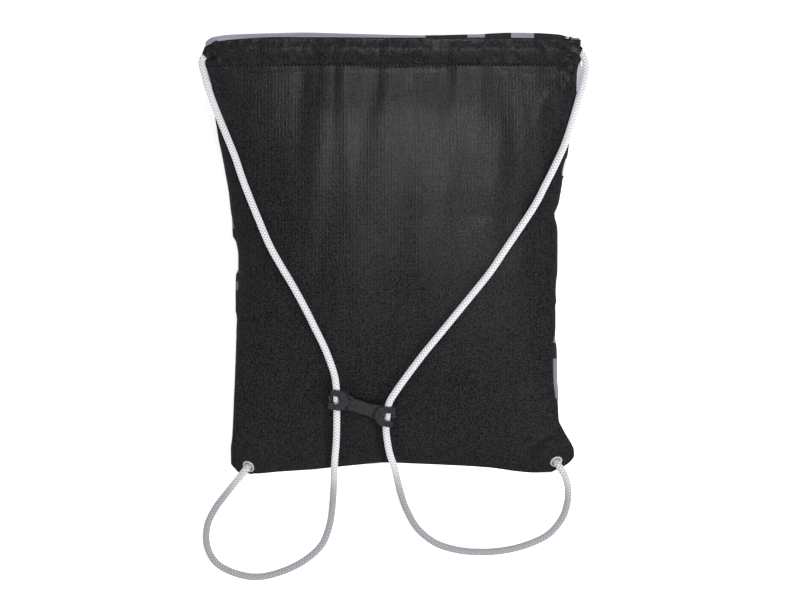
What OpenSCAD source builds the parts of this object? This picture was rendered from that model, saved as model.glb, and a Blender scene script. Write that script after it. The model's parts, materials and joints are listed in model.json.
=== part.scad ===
// Drawstring backpack lying flat, straps up: the front panel rests on Z = 0 and the mouth points along +Y.
// Millimetres. The bag is loosely filled, so its two panels make a pillow around an open hollow.

/* [Bag] */
// Height of the filled bag at its thickest place
bag_h = 64; // [56:1:70]
// Thickness of the doubled panel fabric, with its coating and seam allowance
fabric_t = 1.0; // [0.8:0.1:1.4]
// Depth of the cord channel along the mouth
channel_d = 27; // [25:1:30]

/* [Cord] */
// Diameter of the braided cord
cord_dia = 7; // [6:0.1:7]
// Diameter of the knot that stops each cord behind its eyelet
knot_dia = 15.6; // [14:0.1:15.6]

/* [Eyelets] */
// Bore of the metal eyelets
eyelet_bore = 8; // [7.6:0.1:8.2]
// Outside diameter of the eyelet and washer flanges
eyelet_dia = 13; // [12:0.1:14]
// Tilt of each bottom corner and its eyelet from the horizontal
corner_tilt = 43; // [38:1:45]

/* [Cord clip] */
// Diameter of the round side of each end
clip_end_dia = 21; // [19:0.5:23]
// Height of the ends
clip_end_h = 11.4; // [11.2:0.1:12.4]
// Width of the bar at its waist
clip_bar_w = 12; // [9:0.5:14]
// Thickness of the bar
clip_bar_t = 4.5; // [3:0.5:6]
// Diameter of the two cord tunnels
clip_tunnel_dia = 9.2; // [8.6:0.1:9.6]
// Width of the window between the two upper fingers of each end
clip_window_w = 8; // [7:0.5:9]

/* [Hidden] */
$fn = 48;

cord_r = cord_dia / 2;
mouth_y = 190;
// The front panel stands this much further out at the mouth, so that its rim shows past the back
front_rise = 5;
front_mouth_y = mouth_y + front_rise;
panel_gap = 0.1;

// Side edges of the bag as [y, x], from the bottom corner to the mouth
left_edge = [
    [-218, -157], [-205, -161], [-150, -158], [-60, -155], [0, -154],
    [45, -161], [105, -170], [150, -175], [180, -183], [200, -187], [217, -186]
];
right_edge = [
    [-218, 165], [-201, 181], [-180, 172], [-135, 163], [-60, 162],
    [30, 164], [75, 170], [135, 176], [165, 184], [200, 187], [217, 186]
];
// Lower edges of the two panels as [u, y], with u from -1 at the left seam to 1 at the right one.
// The front panel is cut back further at the corners, to leave room for the knots.
back_hem = [[-1, -188], [-0.82, -212], [-0.68, -211], [0, -208], [0.68, -211], [0.82, -205], [1, -174]];
front_hem = [[-1, -176], [-0.82, -196], [-0.68, -211], [0, -208], [0.68, -211], [0.82, -192], [1, -166]];
// Height of the middle of the back as [distance from the hem, share of bag_h]
crown = [
    [0, 0.2], [4, 0.3], [8, 0.38], [28, 0.485], [68, 0.672], [108, 0.82], [148, 0.922],
    [208, 1], [268, 0.985], [308, 0.94], [348, 0.84], [378, 0.72], [398, 0.64]
];
// Height of the side seams above the floor as [y, z]
seam_height = [[-215, 18], [-188, 18.5], [-120, 21.5], [0, 26], [120, 26], [190, 22], [220, 20]];
// Distance over which the front panel turns up from the floor to the bottom seam
hem_turn = 40;
// How flat the back stays between the seams, and how sharply it falls to them
back_flatness = 2.6;
back_falloff = 0.62;
// The middle of the front, as a share of its half width, lies flat; beyond it the fabric turns up
flat_share = 0.55;
side_turn_power = 2.5;
hem_turn_power = 3;

// Columns across a panel and rows up it, closer together where the fabric turns
columns = [-1, -0.93, -0.82, -0.68, -0.5, -0.3, -0.1, 0.1, 0.3, 0.5, 0.68, 0.82, 0.93, 1];
rows = [0, 0.01, 0.02, 0.07, 0.13, 0.22, 0.33, 0.46, 0.6, 0.72, 0.82, 0.91, 1];

function clamp01(t) = max(0, min(1, t));
function mid_x(y) = (lookup(y, right_edge) + lookup(y, left_edge)) / 2;
function half_x(y) = (lookup(y, right_edge) - lookup(y, left_edge)) / 2;
function at_u(u, y) = mid_x(y) + u * half_x(y);
function row_y(hem, u, v, top_y = mouth_y) = let (low = lookup(u, hem)) low + (top_y - low) * v;
function hem_share(hem, u, y) = clamp01(1 - (y - lookup(u, hem)) / hem_turn);
function seam_z(y) = lookup(y, seam_height);
function back_fullness(u) = pow(max(0, 1 - pow(abs(u), back_flatness)), back_falloff);
function back_z(u, y) =
    let (low = seam_z(y), top = bag_h * lookup(y - lookup(u, back_hem), crown))
    low + (top - low) * back_fullness(u);
// The front rests flat on the floor and turns up towards the seams
function side_share(u) = clamp01((abs(u) - flat_share) / (1 - flat_share));
function front_turn(u, y) =
    clamp01(pow(side_share(u), side_turn_power) + pow(hem_share(front_hem, u, y), hem_turn_power));
function front_edge_z(u, y) =
    let (low = seam_z(y))
    low + (bag_h * crown[0][1] - low) * back_fullness(u) * hem_share(front_hem, u, y);
function front_z(u, y) = front_edge_z(u, y) * (1 - sqrt(1 - front_turn(u, y)));
function front_inner_z(u, y) = max(fabric_t, front_z(u, y) - panel_gap);

// A closed sheet between two grids of points that have the same rows and columns
module grid_sheet(upper, lower) {
    n = len(upper);
    m = len(upper[0]);
    size = n * m;
    points = concat([for (r = upper) for (p = r) p], [for (r = lower) for (p = r) p]);
    top = [
        for (i = [0:n - 2]) for (j = [0:m - 2]) for (t = [0, 1])
            let (a = i * m + j)
            t == 0 ? [a, a + m, a + m + 1] : [a, a + m + 1, a + 1]
    ];
    bottom = [for (f = top) [f[2] + size, f[1] + size, f[0] + size]];
    rim = concat(
        [for (j = [0:m - 2]) j],
        [for (i = [0:n - 2]) i * m + m - 1],
        [for (j = [m - 1:-1:1]) (n - 1) * m + j],
        [for (i = [n - 1:-1:1]) i * m]
    );
    sides = [
        for (k = [0:len(rim) - 1]) for (t = [0, 1])
            let (a = rim[k], b = rim[(k + 1) % len(rim)])
            t == 0 ? [a, b, b + size] : [a, b + size, a + size]
    ];
    polyhedron(points = points, faces = concat(top, bottom, sides), convexity = 6);
}

// A closed tube whose cross-sections are the rings, in order
module ring_tube(rings) {
    m = len(rings[0]);
    n = len(rings);
    walls = [
        for (i = [0:n - 2]) for (j = [0:m - 1]) for (t = [0, 1])
            let (a = i * m + j, b = i * m + (j + 1) % m)
            t == 0 ? [a, b, b + m] : [a, b + m, a + m]
    ];
    start = [for (j = [m - 1:-1:0]) j];
    end = [for (j = [0:m - 1]) (n - 1) * m + j];
    polyhedron(points = [for (r = rings) for (p = r) p], faces = concat([start, end], walls), convexity = 8);
}

// An open-ended sleeve between outer and inner rings that have the same number of points
module ring_sleeve(outer, inner) {
    m = len(outer[0]);
    n = len(outer);
    size = n * m;
    walls = [
        for (i = [0:n - 2]) for (j = [0:m - 1]) for (t = [0, 1])
            let (a = i * m + j, b = i * m + (j + 1) % m)
            t == 0 ? [a, b, b + m] : [a, b + m, a + m]
    ];
    hollow = [for (f = walls) [f[2] + size, f[1] + size, f[0] + size]];
    ends = [
        for (i = [0, n - 1]) for (j = [0:m - 1]) for (t = [0, 1])
            let (a = i * m + j, b = i * m + (j + 1) % m, f = t == 0 ? [b, a, a + size] : [b, a + size, b + size])
            i == 0 ? f : [f[2], f[1], f[0]]
    ];
    points = concat([for (r = outer) for (p = r) p], [for (r = inner) for (p = r) p]);
    polyhedron(points = points, faces = concat(walls, hollow, ends), convexity = 8);
}

// ---- Panels ----

module back_panel() {
    color("#202124")
    grid_sheet(
        [for (v = rows) [for (u = columns) let (y = row_y(back_hem, u, v)) [at_u(u, y), y, back_z(u, y) + fabric_t]]],
        [for (v = rows) [for (u = columns) let (y = row_y(back_hem, u, v)) [at_u(u, y), y, back_z(u, y)]]]
    );
}

module front_panel() {
    color("#9a97a6")
    grid_sheet(
        [for (v = rows) [for (u = columns) let (y = row_y(front_hem, u, v, front_mouth_y))
            [at_u(u, y), y, front_inner_z(u, y)]]],
        [for (v = rows) [for (u = columns) let (y = row_y(front_hem, u, v, front_mouth_y))
            [at_u(u, y), y, front_inner_z(u, y) - fabric_t]]]
    );
}

// ---- Seams: the overlocked allowances that stand inside the bag between the two panels ----

seam_w = 7;
seam_t = 1.2;
seam_inset = 1.8;
// The patches hold the bottom corners, so the seams leave out this many rows and columns there
corner_rows = 4;
corner_columns = 3;

// A flat strip whose middle follows the points, widened along dir
module seam_strip(points, dir) {
    ring_tube([
        for (p = points) [
            p + dir * seam_inset + [0, 0, seam_t / 2],
            p + dir * (seam_inset + seam_w) + [0, 0, seam_t / 2],
            p + dir * (seam_inset + seam_w) - [0, 0, seam_t / 2],
            p + dir * seam_inset - [0, 0, seam_t / 2]
        ]
    ]);
}

function side_points(u) = [
    for (i = [corner_rows:len(rows) - 1]) let (y = row_y(back_hem, u, rows[i])) [at_u(u, y), y, seam_z(y)]
];

module side_seam_left() {
    color("#2b2b2e")
    seam_strip(side_points(-1), [1, 0, 0]);
}

module side_seam_right() {
    points = side_points(1);
    color("#2b2b2e")
    seam_strip([for (i = [len(points) - 1:-1:0]) points[i]], [-1, 0, 0]);
}

module bottom_seam() {
    color("#2b2b2e")
    seam_strip([
        for (i = [len(columns) - 1 - corner_columns:-1:corner_columns]) let (u = columns[i], y = lookup(u, back_hem))
            [at_u(u, y), y, back_z(u, y)]
    ], [0, 1, 0]);
}

// ---- Channels: the folded hems that carry the cord runs along the mouth ----

front_run_z = 4.9;
// Cross-sections as [y from the panel's edge, z from the channel's own line]
back_skin = [
    [0, 0.5], [5, 5], [channel_d - 6, 5], [channel_d, 2],
    [channel_d, -2], [channel_d - 6, -5], [5, -5], [0, -0.5]
];
back_hollow = [
    [4, 0.5], [7, 4], [channel_d - 7, 4], [channel_d - 1, 1.4],
    [channel_d - 1, -1.4], [channel_d - 7, -4], [7, -4], [4, -0.5]
];
front_skin = [
    [0, 1], [6, 9.8], [channel_d - 6, 9.8], [channel_d, 5],
    [channel_d, 1.5], [channel_d - 2, 0], [4, 0], [0, 0]
];
front_hollow = [
    [4, 1.8], [8, 8.8], [channel_d - 7, 8.8], [channel_d - 1, 4.6],
    [channel_d - 1, 1.9], [channel_d - 2.4, 1], [8, 1], [4, 1]
];
channel_columns = [for (i = [1:len(columns) - 2]) columns[i]];

function back_line(u) = back_z(u, mouth_y) + fabric_t / 2;
function front_line(u) = front_inner_z(u, front_mouth_y) - fabric_t;
function channel_ring(u, y, line_z, section) = [for (p = section) [at_u(u, y), y + p[0], line_z + p[1]]];
function back_rings(section) = [for (u = channel_columns) channel_ring(u, mouth_y, back_line(u), section)];
function front_rings(section) = [
    for (u = channel_columns) channel_ring(u, front_mouth_y, front_line(u), section)
];

module back_channel() {
    color("#1c1d20")
    ring_sleeve(back_rings(back_skin), back_rings(back_hollow));
}

module front_channel() {
    color("#8b8897")
    ring_sleeve(front_rings(front_skin), front_rings(front_hollow));
}

// ---- Stitching that closes each channel: a line of thread just inside the panel's edge ----

stitch_w = 1;
stitch_t = 0.5;
stitch_inset = 2.2;
// The panels curve more than the stitching does, so it lies this far above them
back_stitch_lift = 0.8;
front_stitch_lift = 0.5;
stitch_section = [
    [-stitch_inset, stitch_t], [stitch_w - stitch_inset, stitch_t], [stitch_w - stitch_inset, 0], [-stitch_inset, 0]
];

module back_channel_stitching() {
    color("#101012")
    ring_tube([
        for (u = channel_columns)
            channel_ring(u, mouth_y, back_z(u, mouth_y) + fabric_t + back_stitch_lift, stitch_section)
    ]);
}

module front_channel_stitching() {
    color("#77748a")
    ring_tube([
        for (u = channel_columns)
            channel_ring(u, front_mouth_y, front_inner_z(u, front_mouth_y) + front_stitch_lift, stitch_section)
    ]);
}

// ---- Top corners: the gathered ends of both channels, each with the mouth its cord leaves by ----

corner_z = 24;
// Balls whose hull is the gathered fabric, as [middle, radius], and the way out for the cord
corner_balls = [[[-181, 209, corner_z], 6.5], [[-181, 201, corner_z], 5.5], [[-179, 203.5, corner_z + 4], 5]];
left_exit = [-178, 206, corner_z];
left_exit_turn = 48;
right_exit = [-178, 207.2, corner_z];
right_exit_turn = 66;
exit_clearance = 0.8;

// Drawn for the left side; side = 1 mirrors it
module top_corner(side) {
    mirror([side > 0 ? 1 : 0, 0, 0])
    difference() {
        hull() {
            for (ball = corner_balls)
                translate(ball[0])
                sphere(r = ball[1], $fn = 24);
        }
        translate(side > 0 ? right_exit : left_exit)
        rotate([90, 0, side > 0 ? -right_exit_turn : -left_exit_turn])
        cylinder(r = cord_r + exit_clearance, h = 60, center = true);
    }
}

module top_corner_left() {
    color("#1b1c1f")
    top_corner(-1);
}

module top_corner_right() {
    color("#1b1c1f")
    top_corner(1);
}

// ---- Bottom corners: a patch between the plies, an eyelet and its washer, and the cord's knot ----

patch_t = 2.4;
flange_t = 0.8;
barrel_t = 0.5;
// Room between the eyelet's barrel and the patch and washer round it
eyelet_fit = 0.05;
patch_hole_r = eyelet_bore / 2 + barrel_t + eyelet_fit;
// Middle of each eyelet and the direction, in degrees from +X, that its cord leaves in
left_eye = [-143, -211, 15.7];
left_dir = -133;
right_eye = [164, -206, 15.7];
right_dir = -60;

// Puts children in a corner's own frame: Z along the eyelet, X down the slope towards the corner's tip
module at_eye(eye, dir) {
    translate(eye)
    rotate([0, 0, dir])
    rotate([0, corner_tilt, 0])
    children();
}

// Four-sided, with its tip cut off; tip and spread are its reach down the slope and to each side
module corner_patch(tip, spread) {
    difference() {
        translate([0, 0, -patch_t / 2])
        linear_extrude(patch_t)
        polygon([[-6.6, -9], [-6.6, 9], [2, spread], [tip - 3, 7], [tip, 3], [tip, -3], [tip - 3, -7], [2, -spread]]);
        cylinder(r = patch_hole_r, h = 4 * patch_t, center = true);
    }
}

module eyelet() {
    bore_r = eyelet_bore / 2;
    top = patch_t / 2 + flange_t;
    foot = -top - flange_t;
    rotate_extrude()
    polygon([
        [bore_r, foot], [bore_r, top - 0.2], [bore_r + 0.4, top],
        [eyelet_dia / 2 - 0.5, top - 0.1], [eyelet_dia / 2, top - flange_t],
        [bore_r + barrel_t, top - flange_t], [bore_r + barrel_t, -top],
        [bore_r + 1.3, -top], [bore_r + 1.1, foot]
    ]);
}

module washer() {
    translate([0, 0, -patch_t / 2 - flange_t])
    difference() {
        cylinder(r = eyelet_dia / 2, h = flange_t);
        translate([0, 0, -1])
        cylinder(r = patch_hole_r, h = flange_t + 2);
    }
}

// From the middle of the patch to the top of the knot
knot_drop = 2.9;

module knot() {
    translate([0, 0, -knot_drop - knot_dia / 2])
    sphere(r = knot_dia / 2);
}

module corner_patch_left() {
    color("#1b1c1f")
    at_eye(left_eye, left_dir)
    corner_patch(14, 12);
}

module corner_patch_right() {
    color("#1b1c1f")
    at_eye(right_eye, right_dir)
    corner_patch(13, 11);
}

module eyelet_left() {
    color("#c8c6c0")
    at_eye(left_eye, left_dir)
    eyelet();
}

module eyelet_right() {
    color("#c8c6c0")
    at_eye(right_eye, right_dir)
    eyelet();
}

module washer_left() {
    color("#b9b7b1")
    at_eye(left_eye, left_dir)
    washer();
}

module washer_right() {
    color("#b9b7b1")
    at_eye(right_eye, right_dir)
    washer();
}

module knot_left() {
    color("#dfe0e2")
    at_eye(left_eye, left_dir)
    knot();
}

module knot_right() {
    color("#dfe0e2")
    at_eye(right_eye, right_dir)
    knot();
}

// ---- Cords ----

cord_sides = 10;
// Each cord from its top corner over the back, through the clip, round its loop and up to its eyelet
left_route = [
    [-179, 205, 24], [-190, 195, 24], [-187.5, 180, 25.5], [-182.5, 163, 27.5], [-175, 143, 31], [-165.5, 120, 38],
    [-156.5, 98, 44], [-149, 76, 46.5], [-140.5, 54, 49], [-131.5, 32, 52], [-122, 10, 54.5], [-111, -10, 57],
    [-99, -30, 59], [-87, -52, 59.2], [-76, -74, 58.6], [-66, -95, 56.2], [-58, -117, 53.3], [-55.5, -131, 53.5],
    [-55, -148, 48.4], [-55, -164, 43.6], [-55.5, -184, 37.6], [-57, -203, 30], [-58, -219, 19.5],
    [-58.5, -233, 9], [-59.5, -248, 4], [-62.5, -270, 3.6], [-71, -291, 3.6], [-89, -307, 3.6], [-112, -318, 3.6],
    [-136, -323, 3.6], [-158, -319, 3.6], [-176, -309, 3.6], [-185.5, -292, 3.6], [-185.5, -272, 3.6],
    [-178, -255, 3.6], [-167, -240, 7], [-157, -227.5, 15.5], [-149, -218, 19.9], [-145.4, -213.6, 19.3],
    [-141.8, -209.7, 13.8]
];
right_route = [
    [178.5, 207, 24], [185, 204.7, 24], [190, 201.3, 24], [192.8, 195, 24], [193.8, 186, 24.2], [192, 175, 24.8],
    [188.5, 162, 26], [174.8, 117, 34.5],
    [164, 92, 43.5], [152.5, 69, 47.5], [140.2, 46, 52], [111.3, 3, 59.2], [97.8, -17, 61.6],
    [81.8, -37, 62.6], [49.2, -77, 61], [32, -98, 57.6], [16.8, -118, 53.8], [5.4, -134, 52],
    [-2.6, -147, 48.7], [-4.8, -160, 44.8], [-5.8, -176, 40], [-2.6, -197, 33.7], [2, -211, 25.5],
    [5, -224, 13.5], [8.5, -238, 5.5], [14, -254, 3.6], [25.5, -274, 3.6], [44, -289, 3.6], [66, -296, 3.6],
    [90, -298, 3.6], [114, -296, 3.6], [137, -290, 3.6], [157, -280, 3.6], [170.5, -264, 3.6],
    [176, -248, 5], [176.5, -234, 11.5], [173.5, -222, 18], [168.5, -213.5, 20.2], [165.8, -209.1, 19.4],
    [163.1, -204.5, 13.8]
];

function unit(v) = v / norm(v);
// The direction of a route at point i
function heading(route, i) = unit(route[min(i + 1, len(route) - 1)] - route[max(i - 1, 0)]);
// A ring of points round a route's point, turned so that each ring lines up with its neighbours
function ring_at(route, i, r) =
    let (
        t = heading(route, i),
        side = unit(cross(t, [0.12, -0.08, 1])),
        up = cross(side, t)
    )
    [for (k = [0:cord_sides - 1]) let (a = 360 * k / cord_sides) route[i] + r * (cos(a) * side - sin(a) * up)];

module cord(route) {
    ring_tube([for (i = [0:len(route) - 1]) ring_at(route, i, cord_r)]);
}

module drawcord_left() {
    color("#e4e5e8")
    cord(left_route);
}

module drawcord_right() {
    color("#e4e5e8")
    cord(right_route);
}

// The left cord crosses in the front channel and the right cord in the back one; both end sewn in the far corner
module cord_run_left() {
    color("#e4e5e8")
    cord([
        for (u = channel_columns)
            [at_u(u, front_mouth_y), front_mouth_y + channel_d / 2, front_line(u) + front_run_z]
    ]);
}

module cord_run_right() {
    color("#e4e5e8")
    cord([for (u = channel_columns) [at_u(u, mouth_y), mouth_y + channel_d / 2, back_line(u)]]);
}

// ---- Cord clip: one moulding that holds the two cords side by side and slides along them ----

clip_slope = 16.7;
clip_left = [-55, -143.5];
clip_right = [-5, -160];
clip_line_z = 44.8;
clip_slope_y = -160;
// Turn of the ends from the cords' line
clip_end_turn = -11.5;
// From each cord's line to the flat outer side, to the centre of the round side, and down to the underside
clip_flat = 7.4;
clip_arc_in = 1.6;
clip_under = 5.5;
clip_corner_r = 13.2;
// The lower finger's width and the height of its turned-up tip, and the height of the upper fingers' tips
finger_w = 6.4;
finger_tip_z = 0.5;
finger_tip_r = 2.4;
upper_tip_z = 1.5;
// The room a cord has outward under the upper fingers
cord_room = 2.4;
window_shift = 0.7;
// The bar stops this far short of the tunnels, flares by this much, and has sides of this radius
bar_gap = 4;
bar_flare = 5;
bar_waist_r = 60;

// Puts children on the cords' line, with Y along it and Z square to the bag's back
module on_clip(at) {
    translate([at[0], at[1], clip_line_z + (at[1] - clip_slope_y) * tan(clip_slope)])
    rotate([clip_slope, 0, 0])
    children();
}

clip_span = clip_right - clip_left;
clip_turn = atan2(clip_span[1] / cos(clip_slope), clip_span[0]);

// One end: a plate round on the inside and flat on the outside, before its holes are cut
module clip_end(outward) {
    rotate([0, 0, clip_end_turn])
    translate([0, 0, clip_end_h / 2 - clip_under])
    intersection() {
        union() {
            translate([-outward * clip_arc_in, 0, 0])
            cylinder(r = clip_end_dia / 2, h = clip_end_h, center = true);
            translate([outward * (clip_flat - clip_arc_in) / 2, 0, 0])
            cube([clip_flat + clip_arc_in, clip_end_dia, clip_end_h], center = true);
        }
        translate([-outward * clip_arc_in, 0, 0])
        cylinder(r = clip_corner_r, h = 2 * clip_end_h, center = true);
    }
}

// The turned-up tip of the lower finger, which keeps the cord in
module finger_tip(outward) {
    rotate([0, 0, clip_end_turn])
    translate([outward * (clip_flat - 1), 0, -clip_under])
    cylinder(r = finger_tip_r, h = clip_under + finger_tip_z);
}

// Each cord snaps in from the outside: two fingers go over it and one goes under it, between them
module clip_holes(outward) {
    far = 2 * clip_end_dia;
    rotate([90, 0, 0])
    cylinder(r = clip_tunnel_dia / 2, h = far, center = true);
    for (s = [-1, 1])
        translate([0, s * (finger_w + far) / 2, 0]) {
            translate([outward * cord_room, 0, 0])
            rotate([90, 0, 0])
            cylinder(r = clip_tunnel_dia / 2, h = far, center = true);
            translate([outward * cord_room / 2, 0, 0])
            cube([cord_room, far, clip_tunnel_dia], center = true);
            translate([outward * far / 2, 0, upper_tip_z - far / 2])
            cube([far, far, far], center = true);
        }
    rotate([0, 0, clip_end_turn])
    translate([outward * window_shift, 0, finger_tip_z]) {
        cylinder(r = clip_window_w / 2, h = far);
        translate([outward * far / 2, 0, far / 2])
        cube([far, clip_window_w, far], center = true);
    }
}

module clip_bar() {
    length = norm([clip_span[0], clip_span[1] / cos(clip_slope)]);
    rotate([0, 0, clip_turn])
    translate([length / 2, 0, 0])
    difference() {
        cube([length - clip_tunnel_dia - bar_gap, clip_bar_w + bar_flare, clip_bar_t], center = true);
        for (s = [-1, 1])
            translate([0, s * (bar_waist_r + clip_bar_w / 2), 0])
            cylinder(r = bar_waist_r, h = 2 * clip_bar_t, center = true, $fn = 96);
    }
}

module cord_clip() {
    color("#2a2a2d")
    difference() {
        union() {
            on_clip(clip_left) {
                clip_end(-1);
                finger_tip(-1);
                clip_bar();
            }
            on_clip(clip_right) {
                clip_end(1);
                finger_tip(1);
            }
        }
        on_clip(clip_left)
        clip_holes(-1);
        on_clip(clip_right)
        clip_holes(1);
    }
}

back_panel();
front_panel();
back_channel();
front_channel();
top_corner_left();
top_corner_right();
back_channel_stitching();
front_channel_stitching();
side_seam_left();
side_seam_right();
bottom_seam();
corner_patch_left();
corner_patch_right();
eyelet_left();
eyelet_right();
washer_left();
washer_right();
drawcord_left();
drawcord_right();
cord_run_left();
cord_run_right();
knot_left();
knot_right();
cord_clip();
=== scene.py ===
"""Looks for the drawstring backpack: cloth, braided cords, clip, eyelets, stitching, light and camera.

Lengths are in millimetres here and in metres in Blender. +Y is towards the mouth, +Z out of the back panel.
"""

import json
import math

import bmesh
import bpy
import numpy as np
from mathutils import Matrix, Vector

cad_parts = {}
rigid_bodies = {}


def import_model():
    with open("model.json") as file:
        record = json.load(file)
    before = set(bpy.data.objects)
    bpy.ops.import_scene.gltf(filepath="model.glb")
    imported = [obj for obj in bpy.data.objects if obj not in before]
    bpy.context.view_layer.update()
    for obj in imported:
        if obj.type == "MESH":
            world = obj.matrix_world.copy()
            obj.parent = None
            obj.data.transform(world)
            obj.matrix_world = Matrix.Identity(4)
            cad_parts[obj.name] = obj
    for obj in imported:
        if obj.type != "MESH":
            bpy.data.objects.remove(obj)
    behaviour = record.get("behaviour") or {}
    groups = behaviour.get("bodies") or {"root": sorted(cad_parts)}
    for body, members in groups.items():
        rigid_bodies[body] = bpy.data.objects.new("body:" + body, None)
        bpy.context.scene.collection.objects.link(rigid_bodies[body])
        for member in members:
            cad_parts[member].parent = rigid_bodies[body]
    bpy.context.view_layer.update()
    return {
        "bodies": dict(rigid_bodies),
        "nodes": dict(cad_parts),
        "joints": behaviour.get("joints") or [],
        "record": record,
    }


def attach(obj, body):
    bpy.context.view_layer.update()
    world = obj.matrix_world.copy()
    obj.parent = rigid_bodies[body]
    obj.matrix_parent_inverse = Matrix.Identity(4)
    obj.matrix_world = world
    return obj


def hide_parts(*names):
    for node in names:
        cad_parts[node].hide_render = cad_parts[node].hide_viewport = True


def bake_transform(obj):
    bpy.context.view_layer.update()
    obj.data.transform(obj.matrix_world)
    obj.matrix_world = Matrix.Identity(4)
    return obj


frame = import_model()
MM = 0.001
rng = np.random.default_rng(7)

# ---------------------------------------------------------------- camera

CAMERA_HEIGHT = 6.0
VIEW_WIDTH = 0.8  # at the height of the seams
VIEW_Z = 0.025
VIEW_MIDDLE = (0.008, -0.045)
SENSOR = 36
camera_data = bpy.data.cameras.new("camera")
camera_data.sensor_width = SENSOR
camera_data.lens = SENSOR * (CAMERA_HEIGHT - VIEW_Z) / VIEW_WIDTH
camera_data.clip_end = 100
camera = bpy.data.objects.new("camera", camera_data)
camera.location = (*VIEW_MIDDLE, CAMERA_HEIGHT)
bpy.context.scene.collection.objects.link(camera)
bpy.context.scene.camera = camera

# ---------------------------------------------------------------- numbers that follow the CAD

SIGN = {"left": -1, "right": 1}
CORD_D = 7.0
LEFT_ROUTE = [
    (-179, 205, 24), (-190, 195, 24), (-187.5, 180, 25.5), (-182.5, 163, 27.5), (-175, 143, 31),
    (-165.5, 120, 38), (-156.5, 98, 44), (-149, 76, 46.5), (-140.5, 54, 49), (-131.5, 32, 52),
    (-122, 10, 54.5), (-111, -10, 57), (-99, -30, 59), (-87, -52, 59.2), (-76, -74, 58.6), (-66, -95, 56.2),
    (-58, -117, 53.3), (-55.5, -131, 53.5), (-55, -148, 48.4), (-55, -164, 43.6), (-55.5, -184, 37.6),
    (-57, -203, 30), (-58, -219, 19.5), (-58.5, -233, 9), (-59.5, -248, 4), (-62.5, -270, 3.6),
    (-71, -291, 3.6), (-89, -307, 3.6), (-112, -318, 3.6), (-136, -323, 3.6), (-158, -319, 3.6),
    (-176, -309, 3.6), (-185.5, -292, 3.6), (-185.5, -272, 3.6), (-178, -255, 3.6), (-167, -240, 7),
    (-157, -227.5, 15.5), (-149, -218, 19.9), (-145.4, -213.6, 19.3), (-141.8, -209.7, 13.8),
]
RIGHT_ROUTE = [
    (178.5, 207, 24), (185, 204.7, 24), (190, 201.3, 24), (192.8, 195, 24), (193.8, 186, 24.2),
    (192, 175, 24.8), (188.5, 162, 26), (174.8, 117, 34.5), (164, 92, 43.5), (152.5, 69, 47.5),
    (140.2, 46, 52), (111.3, 3, 59.2), (97.8, -17, 61.6), (81.8, -37, 62.6), (49.2, -77, 61),
    (32, -98, 57.6), (16.8, -118, 53.8), (5.4, -134, 52), (-2.6, -147, 48.7), (-4.8, -160, 44.8),
    (-5.8, -176, 40), (-2.6, -197, 33.7), (2, -211, 25.5), (5, -224, 13.5), (8.5, -238, 5.5),
    (14, -254, 3.6), (25.5, -274, 3.6), (44, -289, 3.6), (66, -296, 3.6), (90, -298, 3.6), (114, -296, 3.6),
    (137, -290, 3.6), (157, -280, 3.6), (170.5, -264, 3.6), (176, -248, 5), (176.5, -234, 11.5),
    (173.5, -222, 18), (168.5, -213.5, 20.2), (165.8, -209.1, 19.4), (163.1, -204.5, 13.8),
]
# Each eyelet's middle and the direction, in degrees from +X, that its cord leaves in; both tilt by TILT
EYES = {"left": ((-143, -211, 15.7), -133), "right": ((164, -206, 15.7), -60)}
TILT = 43
CLIP_SLOPE = 16.7
CLIP_LEFT = (-55, -143.5)
CLIP_RIGHT = (-5, -160)
CLIP_LINE_Z = 44.8


def smooth(table):
    """A smooth function through a table's rows [x, y], without overshoot between them."""
    x, y = np.array(table, float).T
    h = np.diff(x)
    d = np.diff(y) / h
    m = np.zeros_like(y)
    same_way = d[:-1] * d[1:] > 0
    m[1:-1][same_way] = (2 * d[:-1] * d[1:])[same_way] / (d[:-1] + d[1:])[same_way]
    m[0], m[-1] = d[0], d[-1]

    def f(t):
        t = np.clip(t, x[0], x[-1])
        i = np.clip(np.searchsorted(x, t) - 1, 0, len(h) - 1)
        s = (t - x[i]) / h[i]
        return (
            (2 * s**3 - 3 * s**2 + 1) * y[i]
            + (s**3 - 2 * s**2 + s) * h[i] * m[i]
            + (3 * s**2 - 2 * s**3) * y[i + 1]
            + (s**3 - s**2) * h[i] * m[i + 1]
        )

    return f


def step(a, b, t):
    """0 before a, 1 after b, and smooth between."""
    t = np.clip((t - a) / (b - a), 0, 1)
    return t * t * (3 - 2 * t)


# ---------------------------------------------------------------- meshes


def link(name, mesh):
    obj = bpy.data.objects.new(name, mesh)
    bpy.context.scene.collection.objects.link(obj)
    return obj


def mesh_from(name, points, faces, uv=None, normals=None):
    """A smooth-shaded object from points in millimetres; uv has a pair for each corner of each face."""
    mesh = bpy.data.meshes.new(name)
    mesh.from_pydata((np.asarray(points, float) * MM).tolist(), [], faces)
    mesh.shade_smooth()
    if uv is not None:
        layer = mesh.uv_layers.new(name="UVMap")
        layer.data.foreach_set("uv", np.asarray(uv, np.float32).ravel())
    mesh.update()
    if normals is not None:
        mesh.normals_split_custom_set_from_vertices(np.asarray(normals).tolist())
    return link(name, mesh)


def quads(n, m, wrap=False):
    """Corner numbers of the faces of an n by m grid; wrap joins its last column to its first."""
    i, j = np.meshgrid(np.arange(n - 1), np.arange(m if wrap else m - 1), indexing="ij")
    a, b = i * m + j, i * m + (j + 1) % m
    return np.stack([a, b, b + m, a + m], -1).reshape(-1, 4)


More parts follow.
